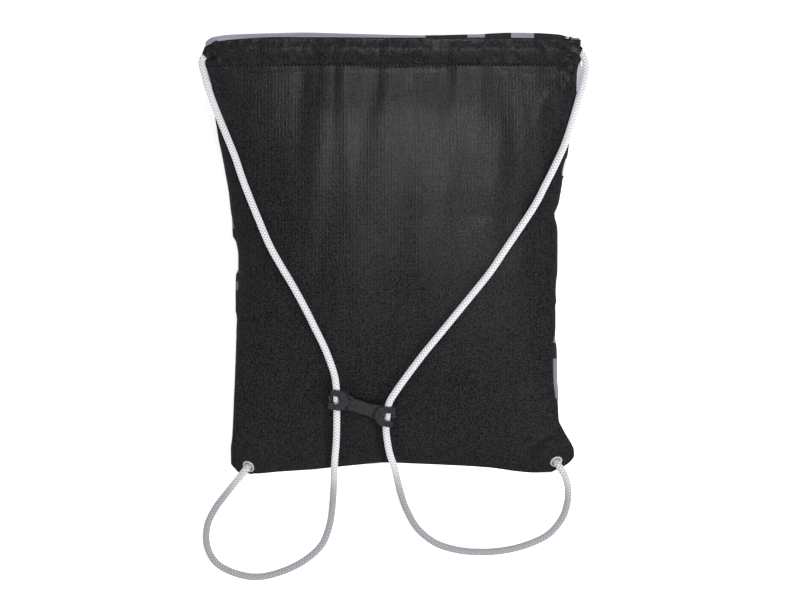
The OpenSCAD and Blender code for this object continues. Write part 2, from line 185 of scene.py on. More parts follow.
def catmull(points, spacing):
    """Points a fixed spacing apart along a smooth curve through the given ones."""
    p = np.array(points, float)
    p = np.vstack([2 * p[0] - p[1], p, 2 * p[-1] - p[-2]])
    fine = []
    for i in range(1, len(p) - 2):
        t = np.linspace(0, 1, 40, endpoint=False)[:, None]
        a, b, c, d = p[i - 1 : i + 3]
        square, cube = 2 * a - 5 * b + 4 * c - d, 3 * b - a - 3 * c + d
        fine.append(0.5 * (2 * b + (c - a) * t + square * t**2 + cube * t**3))
    fine = np.vstack([*fine, p[-2:-1]])
    s = np.concatenate([[0], np.cumsum(np.linalg.norm(np.diff(fine, axis=0), axis=1))])
    at = np.linspace(0, s[-1], max(2, round(s[-1] / spacing) + 1))
    return np.stack([np.interp(at, s, fine[:, k]) for k in range(3)], 1), at


def frames_along(path, closed=False):
    """Two unit vectors square to the path at each point, which turn as little as they can."""
    if closed:
        t = np.roll(path, -1, 0) - np.roll(path, 1, 0)
    else:
        t = np.gradient(path, axis=0)
    t /= np.linalg.norm(t, axis=1)[:, None]
    side = np.cross(t[0], (0.12, -0.08, 1.0))
    sides = []
    for v in t:
        side = side - v * (side @ v)
        side /= np.linalg.norm(side)
        sides.append(side)
    sides = np.array(sides)
    if closed:  # spread the mismatch of the last frame over the loop
        end = sides[-1] - t[0] * (sides[-1] @ t[0])
        end /= np.linalg.norm(end)
        gap = math.atan2(np.cross(end, sides[0]) @ t[0], end @ sides[0])
        turn = np.linspace(0, gap, len(path), endpoint=False)[:, None]
        sides = np.cos(turn) * sides + np.sin(turn) * np.cross(t, sides)
    return sides, np.cross(t, sides)


def place(points, matrix):
    """Points in millimetres moved by a matrix."""
    p = np.asarray(points, float).reshape(-1, 3)
    m = np.array(matrix)
    return p @ m[:3, :3].T + m[:3, 3]


def arc(cx, cy, r, start, end, count):
    """Points along an arc, from and to angles in degrees."""
    turns = [math.radians(a) for a in np.linspace(start, end, count)]
    return [(cx + r * math.cos(a), cy + r * math.sin(a)) for a in turns]


def tube_points(path, radius, sides):
    """Rings of points round a short path, for threads."""
    side, up = frames_along(path)
    a = 2 * np.pi * np.arange(sides) / sides
    ring = np.cos(a)[None, :, None] * side[:, None, :] + np.sin(a)[None, :, None] * up[:, None, :]
    return path[:, None, :] + radius * ring


def joined(name, grids, capped=True):
    """One object from several grids of points, each a tube."""
    points, faces, count = [], [], 0
    for grid in grids:
        n, m = grid.shape[:2]
        faces += (quads(n, m, wrap=True) + count).tolist()
        if capped:
            faces += [range(count, count + m)[::-1], range(count + (n - 1) * m, count + n * m)]
        points.append(grid.reshape(-1, 3))
        count += n * m
    return mesh_from(name, np.vstack(points), faces)


def eye_matrix(eye, turn):
    """From a corner's own frame, with Z along the eyelet, to the bag's, both in millimetres."""
    return (
        Matrix.Translation(Vector(eye))
        @ Matrix.Rotation(math.radians(turn), 4, "Z")
        @ Matrix.Rotation(math.radians(TILT), 4, "Y")
    )


# A round braid: STRANDS yarns each way round, crossing over and under, with a crossing every PITCH
STRANDS = 4
PITCH = 3.2
BRAID_RELIEF = 0.26


def braid(u, v):
    """Height of the braid, 0 in the gaps to 1 on top of a yarn, at u yarns round and v crossings along."""
    a, b = u + v, u - v
    fa, fb = a - np.floor(a), b - np.floor(b)
    over = np.mod(np.floor(a) + np.floor(b), 2) < 0.5
    across, along = np.where(over, fa, fb), np.where(over, fb, fa)
    return np.sqrt(np.clip(1 - (2 * across - 1) ** 2, 0, 1)) * (0.45 + 0.55 * np.sin(np.pi * along))


def braided_tube(name, path, along, radius, sides=32, closed=False):
    """A tube of braided cord round a path in millimetres, with uv in yarns and crossings."""
    side, up = frames_along(path, closed)
    k = np.arange(sides)
    angle = 2 * np.pi * k / sides
    v = along / PITCH
    r = radius - BRAID_RELIEF * (1 - braid(STRANDS * k[None, :] / sides, v[:, None]))
    ring = np.cos(angle)[None, :, None] * side[:, None, :] + np.sin(angle)[None, :, None] * up[:, None, :]
    points = (path[:, None, :] + r[:, :, None] * ring).reshape(-1, 3)
    if closed:
        v = np.append(v, v[-1] + v[1] - v[0])
    faces = (quads(len(v), sides, wrap=True) % len(points)).tolist()
    i, j = np.meshgrid(np.arange(len(v) - 1), np.arange(sides), indexing="ij")
    corners = [((j + dj) * STRANDS / sides, v[i + di]) for di, dj in ((0, 0), (0, 1), (1, 1), (1, 0))]
    uv = np.stack([np.stack(corner, -1) for corner in corners], 2).reshape(-1, 2)
    if not closed:
        faces += [range(sides)[::-1], range(len(points) - sides, len(points))]
        uv = np.vstack([uv, np.zeros((2 * sides, 2))])
    return mesh_from(name, points, faces, uv)


# ---------------------------------------------------------------- cords

ROUTES = {"left": LEFT_ROUTE, "right": RIGHT_ROUTE}
CORD_STEP = 0.78
CORD_LOWEST = 3.74  # of a cord's middle, where it lies on the floor
cords, cord_paths = {}, {}
for side, route in ROUTES.items():
    path, along = catmull(route, CORD_STEP)
    path[:, 2] = np.maximum(path[:, 2], CORD_LOWEST)
    cord_paths[side] = path
    cords[side] = braided_tube(f"shoulder_cord_{side}", path, along, CORD_D / 2)

# ---------------------------------------------------------------- the bag's shape

BAG_H = 64
BOTTOM_Y = -217
MOUTH_Y = 190
FRONT_MOUTH_Y = 195
STITCH_LINE = 188.8  # of the back channel
SKIN = 0.7  # how far each panel's skin lies outside the CAD solid's middle
LEFT_BACK = [
    (-219.5, -150), (-218, -154), (-213.5, -158), (-209, -161), (-195, -161), (-180, -159.4), (-150, -158),
    (-120, -156.6), (-94, -155.8), (-68, -154.8), (-58, -154), (-45, -153.6), (-25, -153.6), (-17, -153.4),
    (-10, -153.3), (0, -153.3), (10, -154.8), (18, -156.8), (25, -157.6), (33, -158.8), (42, -160.5),
    (63, -162.9), (84, -166.6), (99, -169.4), (115, -172.8), (125, -174.4), (131, -175.4), (137, -176.3),
    (150, -177.2), (165, -179.4), (180, -183), (190, -186.5), (195, -188), (202, -188.9), (206, -188),
    (210, -186.6), (217, -184.6), (223, -183),
]
LEFT_PROUD = [
    (-219, 0.6), (-63, 0.6), (-57, 2.6), (-40, 3), (-20, 2.8), (-15, 0.6), (14, 0.6), (18, 2.4), (31, 1.6),
    (35, 0.6), (172, 0.6), (179, 5), (186, 7), (193, 4), (198, 0.6), (217, 0.6),
]
RIGHT_BACK = [
    (-219, 152), (-218, 158), (-214.5, 166), (-211, 173.5), (-206, 179.2), (-201, 182), (-195, 181.6),
    (-189, 179.2), (-180, 173.8), (-173, 170), (-165, 166.4), (-150, 165.6), (-144, 164), (-138, 163),
    (-125, 161.6), (-95, 161.2), (-88, 161.4), (-82, 162.2), (-72, 163), (-60, 163), (-52, 162.8),
    (-45, 163.8), (-38, 163.2), (-26, 163.8), (-15, 165), (10, 165.2), (20, 165.2), (28, 164.8), (35, 163),
    (40, 161.6), (45, 163.4), (50, 165.6), (62, 168), (75, 170), (79, 170.3), (83, 170.6), (91, 172.2),
    (99, 174.8), (107, 176), (120, 177.2), (135, 179.5), (150, 182), (160, 183.8), (166, 184.6), (180, 185),
    (190, 186.5), (195, 188.7), (215, 188.7), (223, 187),
]
RIGHT_PROUD = [
    (-219, 0.6), (-148, 0.6), (-143, 3), (-136, 3.8), (-110, 4.2), (-92, 3.6), (-84, 1.6), (-78, 0.6),
    (76, 0.6), (80, 2.4), (92, 2.2), (97, 0.6), (160, 0.6), (167, 4), (178, 5.5), (188, 4.5), (194, 0.6),
    (217, 0.6),
]
# Bottom edge as [x, y]
HEM = [
    (-165, -216), (-157, -217.5), (-150, -218.8), (-142, -219), (-112, -217), (-82, -215), (-52, -212),
    (-22, -209), (-7, -208), (23, -209), (68, -211), (98, -213), (128, -217), (143, -218), (158, -217.5),
    (166, -217), (184, -214),
]
CROWN = [
    (0, 0.2), (4, 0.3), (8, 0.38), (28, 0.485), (68, 0.672), (108, 0.82), (148, 0.922), (208, 1),
    (268, 0.985), (308, 0.94), (348, 0.84), (378, 0.72), (398, 0.64),
]
SEAM_HEIGHT = [(-215, 18), (-188, 18.5), (-120, 21.5), (0, 26), (120, 26), (190, 22), (220, 20)]
# Upper edges of the two channels as [x, y]
BACK_RIM = [
    (-190, 203.5), (-188.6, 204.5), (-185.4, 209), (-182.3, 210.8), (-179, 213.4), (-177, 214.6),
    (-174, 213.8), (-165, 214.9), (-157, 215.6), (-142, 216.6), (-119, 217.5), (0, 216.8), (100, 217),
    (150, 216.6), (180, 215.8), (189, 215),
]
FRONT_RIM = [
    (-190, 209), (-187, 213.4), (-184, 217), (-180, 219), (-165, 221.3), (-120, 223), (-90, 223.6),
    (-48, 222.6), (17, 221), (35, 220.8), (75, 221.6), (124, 223.4), (142, 223), (166, 221.4), (172, 219.9),
    (177, 219.1), (180, 218), (184.4, 217.6), (187, 215.2), (189, 214.2),
]

edge = {"left": smooth(LEFT_BACK), "right": smooth(RIGHT_BACK)}
proud = {"left": smooth(LEFT_PROUD), "right": smooth(RIGHT_PROUD)}
hem_y, crown, seam_z = smooth(HEM), smooth(CROWN), smooth(SEAM_HEIGHT)
back_rim, front_rim = smooth(BACK_RIM), smooth(FRONT_RIM)


def across(x, y):
    """Where x is between the side seams, from -1 to 1."""
    low, high = edge["left"](y), edge["right"](y)
    return np.clip((2 * x - low - high) / (high - low), -1, 1)


def fullness(x, y):
    return np.power(1 - np.abs(across(x, y)) ** 2.6, 0.62)


def corner_plane(x, y, lift):
    """(weight, height) of the flat cloth round the nearer eyelet, lifted along the eyelet's axis."""
    weight, height = np.zeros_like(x), np.zeros_like(x)
    for (ex, ey, ez), turn in EYES.values():
        a = math.radians(turn)
        far = np.hypot(x - ex, y - ey)
        w = 1 - step(12, 38, far)
        down = (x - ex) * math.cos(a) + (y - ey) * math.sin(a)
        z = ez + lift / math.cos(math.radians(TILT)) - math.tan(math.radians(TILT)) * down
        height = np.where(w > weight, z, height)
        weight = np.maximum(weight, w)
    return weight, height


def toward_corner(x, y, z, lift):
    """Bends z to the corner's flat cloth: fully round the eyelet, and only downwards farther away."""
    w, plane = corner_plane(x, y, lift)
    up = plane - z
    down = -1.6 * np.log1p(np.exp(np.clip(-up / 1.6, -40, 40)))
    tight = step(0.3, 0.97, w)
    return z + w * (tight * up + (1 - tight) * down)


def outline_height(x, y):
    """Height of the seam line, carried inwards from the panels' edges."""
    low = seam_z(y)
    near = np.clip(1 - (y - hem_y(x)) / 40, 0, 1)
    z = low + (BAG_H * CROWN[0][1] - low) * fullness(x, y) * near
    return toward_corner(x, y, z, 0)


def back_base(x, y):
    low = seam_z(y)
    full = fullness(x, y)
    z = low + (BAG_H * crown(y - hem_y(x)) - low) * full
    from_hem = step(0, 6, y - hem_y(x))
    z = z + SKIN * np.minimum(step(0, 0.25, full), from_hem)
    return toward_corner(x, y, z, 1.25)


def front_base(x, y):
    u = np.abs(across(x, y))
    low_corner = step(-165, -203, y)
    start = 0.55 + 0.3 * low_corner
    ts = np.clip((u - start) / (1 - start), 0, 1) ** 2.5
    reach = 40 - 27 * step(95, 140, np.abs(x))
    th = np.clip(1 - (y - hem_y(x)) / reach, 0, 1) ** 3
    t = np.clip(1 - (1 - ts) * (1 - th), 0, 1)
    return 0.25 + (outline_height(x, y) - 0.25) * (1 - np.sqrt(1 - t))


# ---------------------------------------------------------------- folds


def ridge(x, y, a, b, width, height, fade="both"):
    """A fold whose crest runs from a to b: height there, falling away over width to each side."""
    (ax, ay), (bx, by) = a, b
    dx, dy = bx - ax, by - ay
    size = math.hypot(dx, dy)
    t = ((x - ax) * dx + (y - ay) * dy) / size**2
    d = ((x - ax) * dy - (y - ay) * dx) / size
    if fade == "end":
        along = step(-0.06, 0.08, t) * np.clip(1 - t, 0, 1) ** 1.3
    else:
        along = np.where((t > 0) & (t < 1), np.sin(np.pi * np.clip(t, 0, 1)) ** 1.2, 0)
    return height * np.exp(-((d / width) ** 2)) * along


def waves(x, y, parts):
    """Soft rolling noise from a list of (wavelength in x, wavelength in y, phase, height)."""
    z = np.zeros_like(x)
    for wx, wy, phase, height in parts:
        z = z + height * np.sin(2 * np.pi * (x / wx + y / wy) + phase)
    return z


def random_waves(count, across_range, along_range, height):
    return [
        (
            rng.uniform(*across_range) * rng.choice([-1, 1]),
            rng.uniform(*along_range) * rng.choice([-1, 1]),
            rng.uniform(0, 2 * np.pi),
            height * rng.uniform(0.5, 1),
        )
        for _ in range(count)
    ]


# Gathers that hang from the channel's stitching: [x, length, height, width]
GATHERS = [
    (-150, 30, 0.35, 4), (-128, 46, 0.8, 3.2), (-113, 40, -0.5, 3), (-99, 120, 0.9, 5),
    (-88, 110, -0.6, 3.4), (-79, 95, 0.7, 3.4), (-69, 100, 0.5, 4), (-57, 85, -1.5, 3.2),
    (-47, 60, 0.9, 3.4), (-37, 50, -0.6, 2.6), (-27, 70, 0.6, 3.6), (-14, 52, -0.7, 3), (-4, 46, 0.6, 3.2),
    (9, 60, -0.5, 3.2), (20, 42, 0.55, 2.8), (33, 40, -0.6, 3), (46, 52, 0.6, 3.6), (57, 58, -1.0, 3.2),
    (66, 46, 0.8, 3), (77, 56, -0.9, 3.4), (88, 40, 0.5, 3), (101, 44, -0.4, 3.2), (115, 42, 0.5, 3.4),
    (131, 70, -0.7, 4.4), (144, 44, 0.6, 4), (158, 36, -0.5, 3.4),
]
GATHERS += [
    (x + rng.uniform(-2.5, 2.5), rng.uniform(10, 30), rng.uniform(-0.16, 0.16), rng.uniform(1.6, 2.4))
    for x in range(-160, 165, 6)
]
SOFT_BACK = random_waves(5, (60, 130), (170, 420), 0.35) + random_waves(4, (24, 48), (260, 700), 0.12)
SOFT_FRONT = random_waves(6, (40, 90), (80, 240), 0.25)
SEAM_PUCKER = random_waves(6, (9, 17), (9, 17), 0.3)
CHANNEL_CREASES = [
    (
        (x, rng.uniform(187, 194)), (x + rng.uniform(-13, 13), rng.uniform(204, 220)),
        rng.uniform(2.2, 4), rng.uniform(0.4, 1.0) * rng.choice([-1, 1]),
    )
    for x in range(-160, 165, 7)
]
# Long soft folds of the back as [from, to, width, height]
BACK_FOLDS = [
    ((168, 172), (148, 150), 5, 1.2), ((152, 160), (143, 118), 7, 1.0), ((146, 128), (150, 60), 9, 0.9),
    ((118, 182), (124, 60), 9, -0.9), ((108, 150), (98, -20), 11, 0.7), ((132, 90), (128, -60), 9, 0.6),
    ((160, -20), (150, -110), 6, -0.8), ((166, -60), (140, -95), 5, 0.7),
    ((160, -150), (176, -196), 7, 0.9), ((120, -60), (150, -160), 10, -0.6),
    ((-41, 186), (-46, 60), 8, 0.8), ((-15, 186), (-20, 130), 7, -0.7), ((30, 178), (44, 0), 16, 0.9),
    ((-120, 150), (-128, 20), 12, -0.4), ((0, -150), (-40, -210), 14, 0.5),
    ((80, -150), (110, -212), 12, 0.7), ((-100, -150), (-140, -205), 14, 0.5),
    ((-44, 240), (-60, 40), 24, 2.6), ((92, 225), (84, 50), 24, 1.2),
]
# Creases at the top corners
CREASES = [
    ((-180, 209), (-168, 192), 2.6, -2.0), ((-184, 199), (-170, 203), 2.2, 1.5),
    ((-183, 190), (-165, 186), 3, 1.0), ((-178, 187), (-166, 170), 3.4, -1.2),
    ((-170, 186), (-150, 176), 4, 0.6), ((149, 212), (159, 195), 3, -1.8),
    ((158, 214), (170, 198), 3.4, 1.1), ((170, 209), (190, 198), 2.8, -2.2),
    ((168, 188), (187, 203), 2.4, 1.6), ((166, 184), (184, 194), 2.8, -1.5),
    ((186, 186), (172, 166), 3.4, 1.1), ((180, 176), (158, 150), 4, 0.9),
]


def freedom(x, y):
    """1 where the cloth is free to fold, 0 at its seams and round the eyelets."""
    at_edge = np.minimum(step(0, 0.14, fullness(x, y)), step(0, 4, y - hem_y(x)))
    return (1 - corner_plane(x, y, 0)[0]) * at_edge


def back_folds(x, y):
    """Height of all the folds in the back panel and its channel."""
    full = fullness(x, y)
    z = waves(x, y, SOFT_BACK) * step(0.1, 0.9, full)
    for gx, length, height, width in GATHERS:
        height *= 0.4 + 0.6 * math.exp(-((gx / 75) ** 2))
        z = z + ridge(x, y, (gx, 190), (gx + 0.05 * gx * length / 100, 190 - length), width, height, "end")
        lean = 0.06 * gx / 10
        in_channel = np.exp(-(((x - gx - lean * (y - 190) / 10) / (width * 0.9)) ** 2)) * step(186, 196, y)
        z = z + 0.9 * height * in_channel * (1 - 0.55 * step(205, 217, y))
    for a, b, width, height in BACK_FOLDS + CREASES + CHANNEL_CREASES:
        z = z + ridge(x, y, a, b, width, height)
    u = np.abs(across(x, y))
    near_seam = np.maximum(step(0.86, 1, u), 1 - step(0, 20, y - hem_y(x)))
    z = z + waves(x, y, SEAM_PUCKER) * near_seam * 0.7
    # a groove where the channel is stitched down
    z = z - 0.5 * np.exp(-(((y - STITCH_LINE) / 1.3) ** 2)) * step(0, 0.4, full)
    return z * freedom(x, y)


def back_surface(x, y):
    return back_base(x, y) + back_folds(x, y)


def front_folds(x, y):
    flat = 1 - step(1, 12, front_base(x, y))
    z = (waves(x, y, SOFT_FRONT) + 0.5) * flat * 0.8
    near = step(0.82, 1, np.abs(across(x, y))) + 1 - step(0, 18, y - hem_y(x))
    z = z + waves(x + 37, y - 11, SEAM_PUCKER) * near * 0.7
    return z * freedom(x, y)


ABOVE_CLOTH = 20  # cords higher than this lie on the back
PRESSED = 9  # how far from a cord's middle the cloth is held down
CHUNK = 4000
all_cord_points = np.vstack([p[p[:, 2] > ABOVE_CLOTH] for p in cord_paths.values()])


def under_cords(x, y, z):
    """Presses the cloth down where a cord lies on it."""
    flat_x, flat_y, flat_z = x.ravel(), y.ravel(), z.ravel().copy()
    r = CORD_D / 2
    touch = r * 0.92
    for k in range(0, len(flat_x), CHUNK):
        part = slice(k, k + CHUNK)
        dx = flat_x[part, None] - all_cord_points[None, :, 0]
        dy = flat_y[part, None] - all_cord_points[None, :, 1]
        d2 = dx * dx + dy * dy
        best = d2.argmin(1)
        d = np.sqrt(d2[np.arange(len(best)), best])
        cz = all_cord_points[best, 2]
        bottom = cz - np.sqrt(np.clip(r * r - d * d, 0, None)) - 0.15
        cap = np.where(d < touch, bottom, cz - r * 0.39 + (d - touch) * 1.1)
        flat_z[part] = np.where(d < PRESSED, np.minimum(flat_z[part], cap), flat_z[part])
    return flat_z.reshape(z.shape)


# ---------------------------------------------------------------- skins

RIM_HALF = 187.0  # half the mouth's width
FOLD_OUT, FRONT_FOLD_OUT = 1.6, 2.4  # how far each channel's fold stands out past its last row
FOLD_THICK = 4.2
LOWEST = 0.2  # of the cloth over the floor
COLUMNS = 112
PANEL_ROWS = 150
CHANNEL_ROWS = 24
FOLD_ROWS = 8
INNER_ROWS = 16
COLUMN_TURN = np.pi / 2 * 0.86  # columns lie closer together towards the side seams
column_s = np.sin(np.linspace(0, 1, COLUMNS) * COLUMN_TURN) / math.sin(COLUMN_TURN)
row_t = np.linspace(0, 1, PANEL_ROWS)
row_v = row_t - 0.11 * np.sin(2 * np.pi * row_t)  # closer together at both ends


def hem_of(side, s):
    """The point of the bottom edge that column s starts from."""
    x = s * edge[side](BOTTOM_Y)
    for _ in range(6):
        x = s * edge[side](hem_y(x))
    return hem_y(x)


def rim_x(side):
    """Where each column meets the rim of its half."""
    return column_s * RIM_HALF * SIGN[side]


def channel_middle(x):
    """Height of the middle of the back channel."""
    return back_base(x, np.full_like(x, float(MOUTH_Y))) - 0.6


def front_mouth(x):
    """Height of the front where its channel starts."""
    return front_base(x, np.full_like(x, float(FRONT_MOUTH_Y)))


def back_grid(side):
    """Points of half the back: up the panel, over the channel, round its fold and back down inside it."""
    s = column_s
    hem = hem_of(side, s)
    rows = []
    for v in row_v:
        y = hem + (MOUTH_Y - hem) * v
        x = s * edge[side](y)
        rows.append((x, y, back_surface(x, y)))
    at_end = step(0.93, 1.0, s)
    top = back_rim(rim_x(side)) - FOLD_OUT
    for k in range(1, CHANNEL_ROWS + 1):
        t = k / CHANNEL_ROWS
        y = MOUTH_Y + (top - MOUTH_Y) * t
        x = s * edge[side](y)
        bulge = 4.3 * step(-0.15, 0.7, t) - 2.0 * max(0, t - 0.3) / 0.7
        droop = -2.4 * step(0.55, 1, t) * (1 - at_end)
        z = channel_middle(x) + SKIN + bulge * (1 - 0.12 * at_end) + droop + back_folds(x, y)
        rows.append((x, y, z))
    x, y, z = rows[-1]
    low = z - FOLD_THICK
    for k in range(1, FOLD_ROWS + 1):
        a = math.pi * k / FOLD_ROWS
        rows.append((x, y + FOLD_OUT * math.sin(a), z + (low - z) * (1 - math.cos(a)) / 2))
    for k in range(1, INNER_ROWS + 1):
        t = k / INNER_ROWS
        yy = y + (MOUTH_Y + 1 - y) * t
        xx = s * edge[side](yy)
        under = channel_middle(xx) - 1.0
        sag = FOLD_THICK * math.sin(math.pi * (0.22 + 0.78 * t)) ** 0.8 if t < 1 else 0
        zz = under - sag + 0.5 * back_folds(xx, yy)
        blend_in = step(0, 0.3, t)
        rows.append((xx, yy, low * (1 - blend_in) + zz * blend_in))
    grid = np.array([np.stack(r, -1) for r in rows])
    outside = grid[: PANEL_ROWS + CHANNEL_ROWS // 3]
    outside[:, :, 2] = under_cords(*np.moveaxis(outside, 2, 0))
    return grid


ROLL = 6


def front_grid(side):
    """Points of half the front: the flat, the turn up to the seam, and the rolled channel."""
    s = column_s
    hem = hem_of(side, s)
    sign = SIGN[side]
    rows = []

    def row(y, z_of, out):
        """A row with extra columns that roll from the outermost line in to the seam."""
        x_edge = edge[side](y)
        swell = proud[side](y) * out
        x = s * (x_edge + sign * swell)
        inner_x = s * x_edge
        z = z_of(inner_x, y)
        drop = np.maximum(0.9 * swell, 0.5) * step(0.93, 1, s)
        z = z - drop
        points = np.stack([x, y, z], 1).tolist()
        for k in range(1, ROLL + 1):
            a = math.pi / 2 * k / ROLL
            inwards = swell[-1] * (1 - math.cos(a))
            points.append((x[-1] - sign * inwards, y[-1], z[-1] + drop[-1] * math.sin(a)))
        return np.array(points)

    def panel(x, y):
        return np.maximum(front_base(x, y) + front_folds(x, y), LOWEST)

    for v in row_v:
        y = hem + (FRONT_MOUTH_Y - hem) * v
        out = step(0, 0.03, v) * np.ones_like(y)
        rows.append(row(y, panel, out))
    rim = front_rim(rim_x(side)) - FRONT_FOLD_OUT
    for k in range(1, CHANNEL_ROWS + 1):
        t = k / CHANNEL_ROWS
        y = FRONT_MOUTH_Y + (rim - FRONT_MOUTH_Y) * t

        def z_of(x, y, t=t):
            return np.maximum(front_mouth(x) + 0.3 * front_folds(x, y) + 0.9 * step(0.55, 1, t), LOWEST)

        rows.append(row(y, z_of, np.ones_like(y)))
    last = rows[-1]
    closed = 1 - 0.9 * step(0.84, 0.99, np.concatenate([s, np.ones(ROLL)]))
    thick = 4.6 * closed
    for k in range(1, FOLD_ROWS + 1):
        a = math.pi * k / FOLD_ROWS
        p = last.copy()
        p[:, 1] += FRONT_FOLD_OUT * math.sin(a)
        p[:, 2] += thick * (1 - math.cos(a)) / 2
        rows.append(p)
    top = rows[-1]
    for k in range(1, INNER_ROWS + 1):
        t = k / INNER_ROWS
        p = top.copy()
        p[:, 1] = top[:, 1] + (FRONT_MOUTH_Y + 1 - top[:, 1]) * t
        u = np.abs(across(p[:, 0], p[:, 1]))
        base = np.pad(front_mouth(rim_x(side)), (0, ROLL), mode="edge")
        height = base + (1.2 + 7.6 * math.sin(math.pi * min(1, 0.24 + 0.76 * t)) ** 0.7) * closed
        w = step(0, 0.3, t)
        gather = 0.35 * waves(p[:, 0] * 1.7, p[:, 1] * 0.2, SEAM_PUCKER)
        p[:, 2] = top[:, 2] * (1 - w) + (height + gather * (1 - u**6)) * w
        rows.append(p)
    return np.array(rows)


def grid_normals(grid):
    n = np.cross(np.gradient(grid, axis=1), np.gradient(grid, axis=0))
    size = np.linalg.norm(n, axis=2, keepdims=True)
    return n / np.maximum(size, 1e-9)


def flat_uv(grid):
    """Cloth coordinates in metres: x across, and the distance along the cloth from the bottom edge."""
    u = grid[:, :, 0].copy()
    run = np.linalg.norm(np.diff(grid, axis=0), axis=2)
    middle = np.concatenate([[0], np.cumsum(run[:, 0])])
    run_from_mouth = (middle - middle[PANEL_ROWS - 1])[:, None]
    y = grid[:, :, 1]
    in_panel = np.arange(len(grid))[:, None] < PANEL_ROWS
    v = np.where(in_panel, y, y[PANEL_ROWS - 1] + run_from_mouth)
    return np.stack([u, v], -1) * MM


def panel_halves(name, make, flip, hole=None):
    """Both halves of a panel, whose normals match along the middle; hole is true where no cloth is."""
    grids = {side: make(side) for side in ("left", "right")}
    whole = np.concatenate([grids["left"][:, ::-1], grids["right"][:, 1:]], 1)
    normals = grid_normals(whole) * (-1 if flip else 1)
    uvs = flat_uv(whole)
    m = grids["left"].shape[1]
    made = {}
    for side, part in (("left", slice(0, m)), ("right", slice(m - 1, None))):
        grid, normal, uv = whole[:, part], normals[:, part], uvs[:, part]
        faces = quads(*grid.shape[:2])
        if flip:
            faces = faces[:, ::-1]
        points = grid.reshape(-1, 3)
        if hole is not None:
            faces = faces[~hole(points[faces].mean(1))]
        corner_uv = uv.reshape(-1, 2)[faces].reshape(-1, 2)
        obj = mesh_from(f"{name}_{side}", points, faces.tolist(), corner_uv, normal.reshape(-1, 3))
        clean(obj)
        made[side] = obj
    return made


def clean(obj):
    """Removes points that no face uses."""
    bm = bmesh.new()
    bm.from_mesh(obj.data)
    loose = [v for v in bm.verts if not v.link_faces]
    if loose:
        bmesh.ops.delete(bm, geom=loose, context="VERTS")
        bm.to_mesh(obj.data)
    bm.free()


BARREL_HOLE_R = 5.2
BARREL_REACH = 8


def at_eyelet(points):
    """True where an eyelet's barrel goes through the back."""
    inside = np.zeros(len(points), bool)
    for eye, turn in EYES.values():
        p = place(points, eye_matrix(eye, turn).inverted())
        inside |= (np.hypot(p[:, 0], p[:, 1]) < BARREL_HOLE_R) & (np.abs(p[:, 2]) < BARREL_REACH)
    return inside


backs = panel_halves("back_cloth", back_grid, False, at_eyelet)
fronts = panel_halves("front_cloth", front_grid, True)

# ---------------------------------------------------------------- small pieces of cloth and thread


STITCH_PITCH = 3.7
STITCH_LENGTH = 2.3
STITCH_DIP = np.array([-0.45, -0.05, 0.16, 0.22, 0.16, -0.05, -0.45])
THREAD_R = 0.3


def stitches(name, x_from, x_to, y, height):
    """A row of stitches whose ends dip into the cloth; height(x, y) is the cloth's surface."""
    rows = []
    count = round((x_to - x_from) / STITCH_PITCH)
    for k in range(count):
        x = x_from + (k + 0.5) * (x_to - x_from) / count
        xs = x + np.linspace(-0.5, 0.5, len(STITCH_DIP)) * STITCH_LENGTH
        ys = np.full_like(xs, y) + rng.uniform(-0.12, 0.12)
        rows.append(tube_points(np.stack([xs, ys, height(xs, ys) + STITCH_DIP], 1), THREAD_R, 7))
    return joined(name, rows)


def front_inside(x, y):
    return np.maximum(front_base(x, y), LOWEST) + 1.3


SPLIT = {"left": (-166.8, -0.3), "right": (0.3, 170.5)}
back_stitches, front_stitches = {}, {}
for side, (x0, x1) in SPLIT.items():
    back_stitches[side] = stitches(f"back_channel_stitches_{side}", x0, x1, STITCH_LINE, back_surface)
    front_stitches[side] = stitches(f"front_channel_stitches_{side}", x0, x1, FRONT_MOUTH_Y, front_inside)


def seam_allowance(name, points, inward, width):
    """Overlocked cloth that stands in from a seam: two plies, with thread looped over their free edge."""
    points = np.array(points, float)
    n = len(points)
    upper = [(0.2, 0.3), (0.5 * width, 0.55), (width - 0.6, 0.6), (width, 0.2)]
    profile = upper + [(d, -h) for d, h in upper[::-1]]
    wave = 0.5 * np.sin(np.arange(n) * 0.9) + 0.35 * np.sin(np.arange(n) * 0.37)
    rings = []
    for k, p in enumerate(points):
        rings.append([p + inward * d + (0, 0, h + wave[k] * d / width) for d, h in profile])
    body = np.array(rings)
    loops = []
    for k in range(1, n - 1):
        a = points[k] + (0, 0, wave[k])
        along = (points[k + 1] - points[k - 1]) * 0.32
        loop = np.array([
            a + inward * (width - 3.4) + (0, 0, 0.75) - along * 0.5,
            a + inward * (width - 1.2) + (0, 0, 0.85),
            a + inward * (width + 0.15) + (0, 0, 0),
            a + inward * (width - 1.2) + (0, 0, -0.85),
            a + inward * (width - 3.4) + (0, 0, -0.75) + along * 0.5,
        ])
        loops.append(tube_points(loop, 0.22, 5))
    return joined(name, [body, *loops])


SEAM_W = 7
SEAM_IN = 1.2  # of the bag's outline
SEAM_STEP = 2.2
seams = {}
for side, sign in SIGN.items():
    ys = np.arange(-150, 187, SEAM_STEP)
    line = np.stack([edge[side](ys) - sign * SEAM_IN, ys, seam_z(ys)], 1)
    seams[side] = seam_allowance(f"side_seam_allowance_{side}", line, np.array([-sign, 0.0, 0.0]), SEAM_W)
xs = np.arange(-106, 112, SEAM_STEP)
line = np.stack([xs, hem_y(xs) + SEAM_IN, outline_height(xs, hem_y(xs))], 1)
bottom_seam = seam_allowance("bottom_seam_allowance", line, np.array([0.0, 1.0, 0.0]), SEAM_W)

# ---------------------------------------------------------------- top corners and cord runs

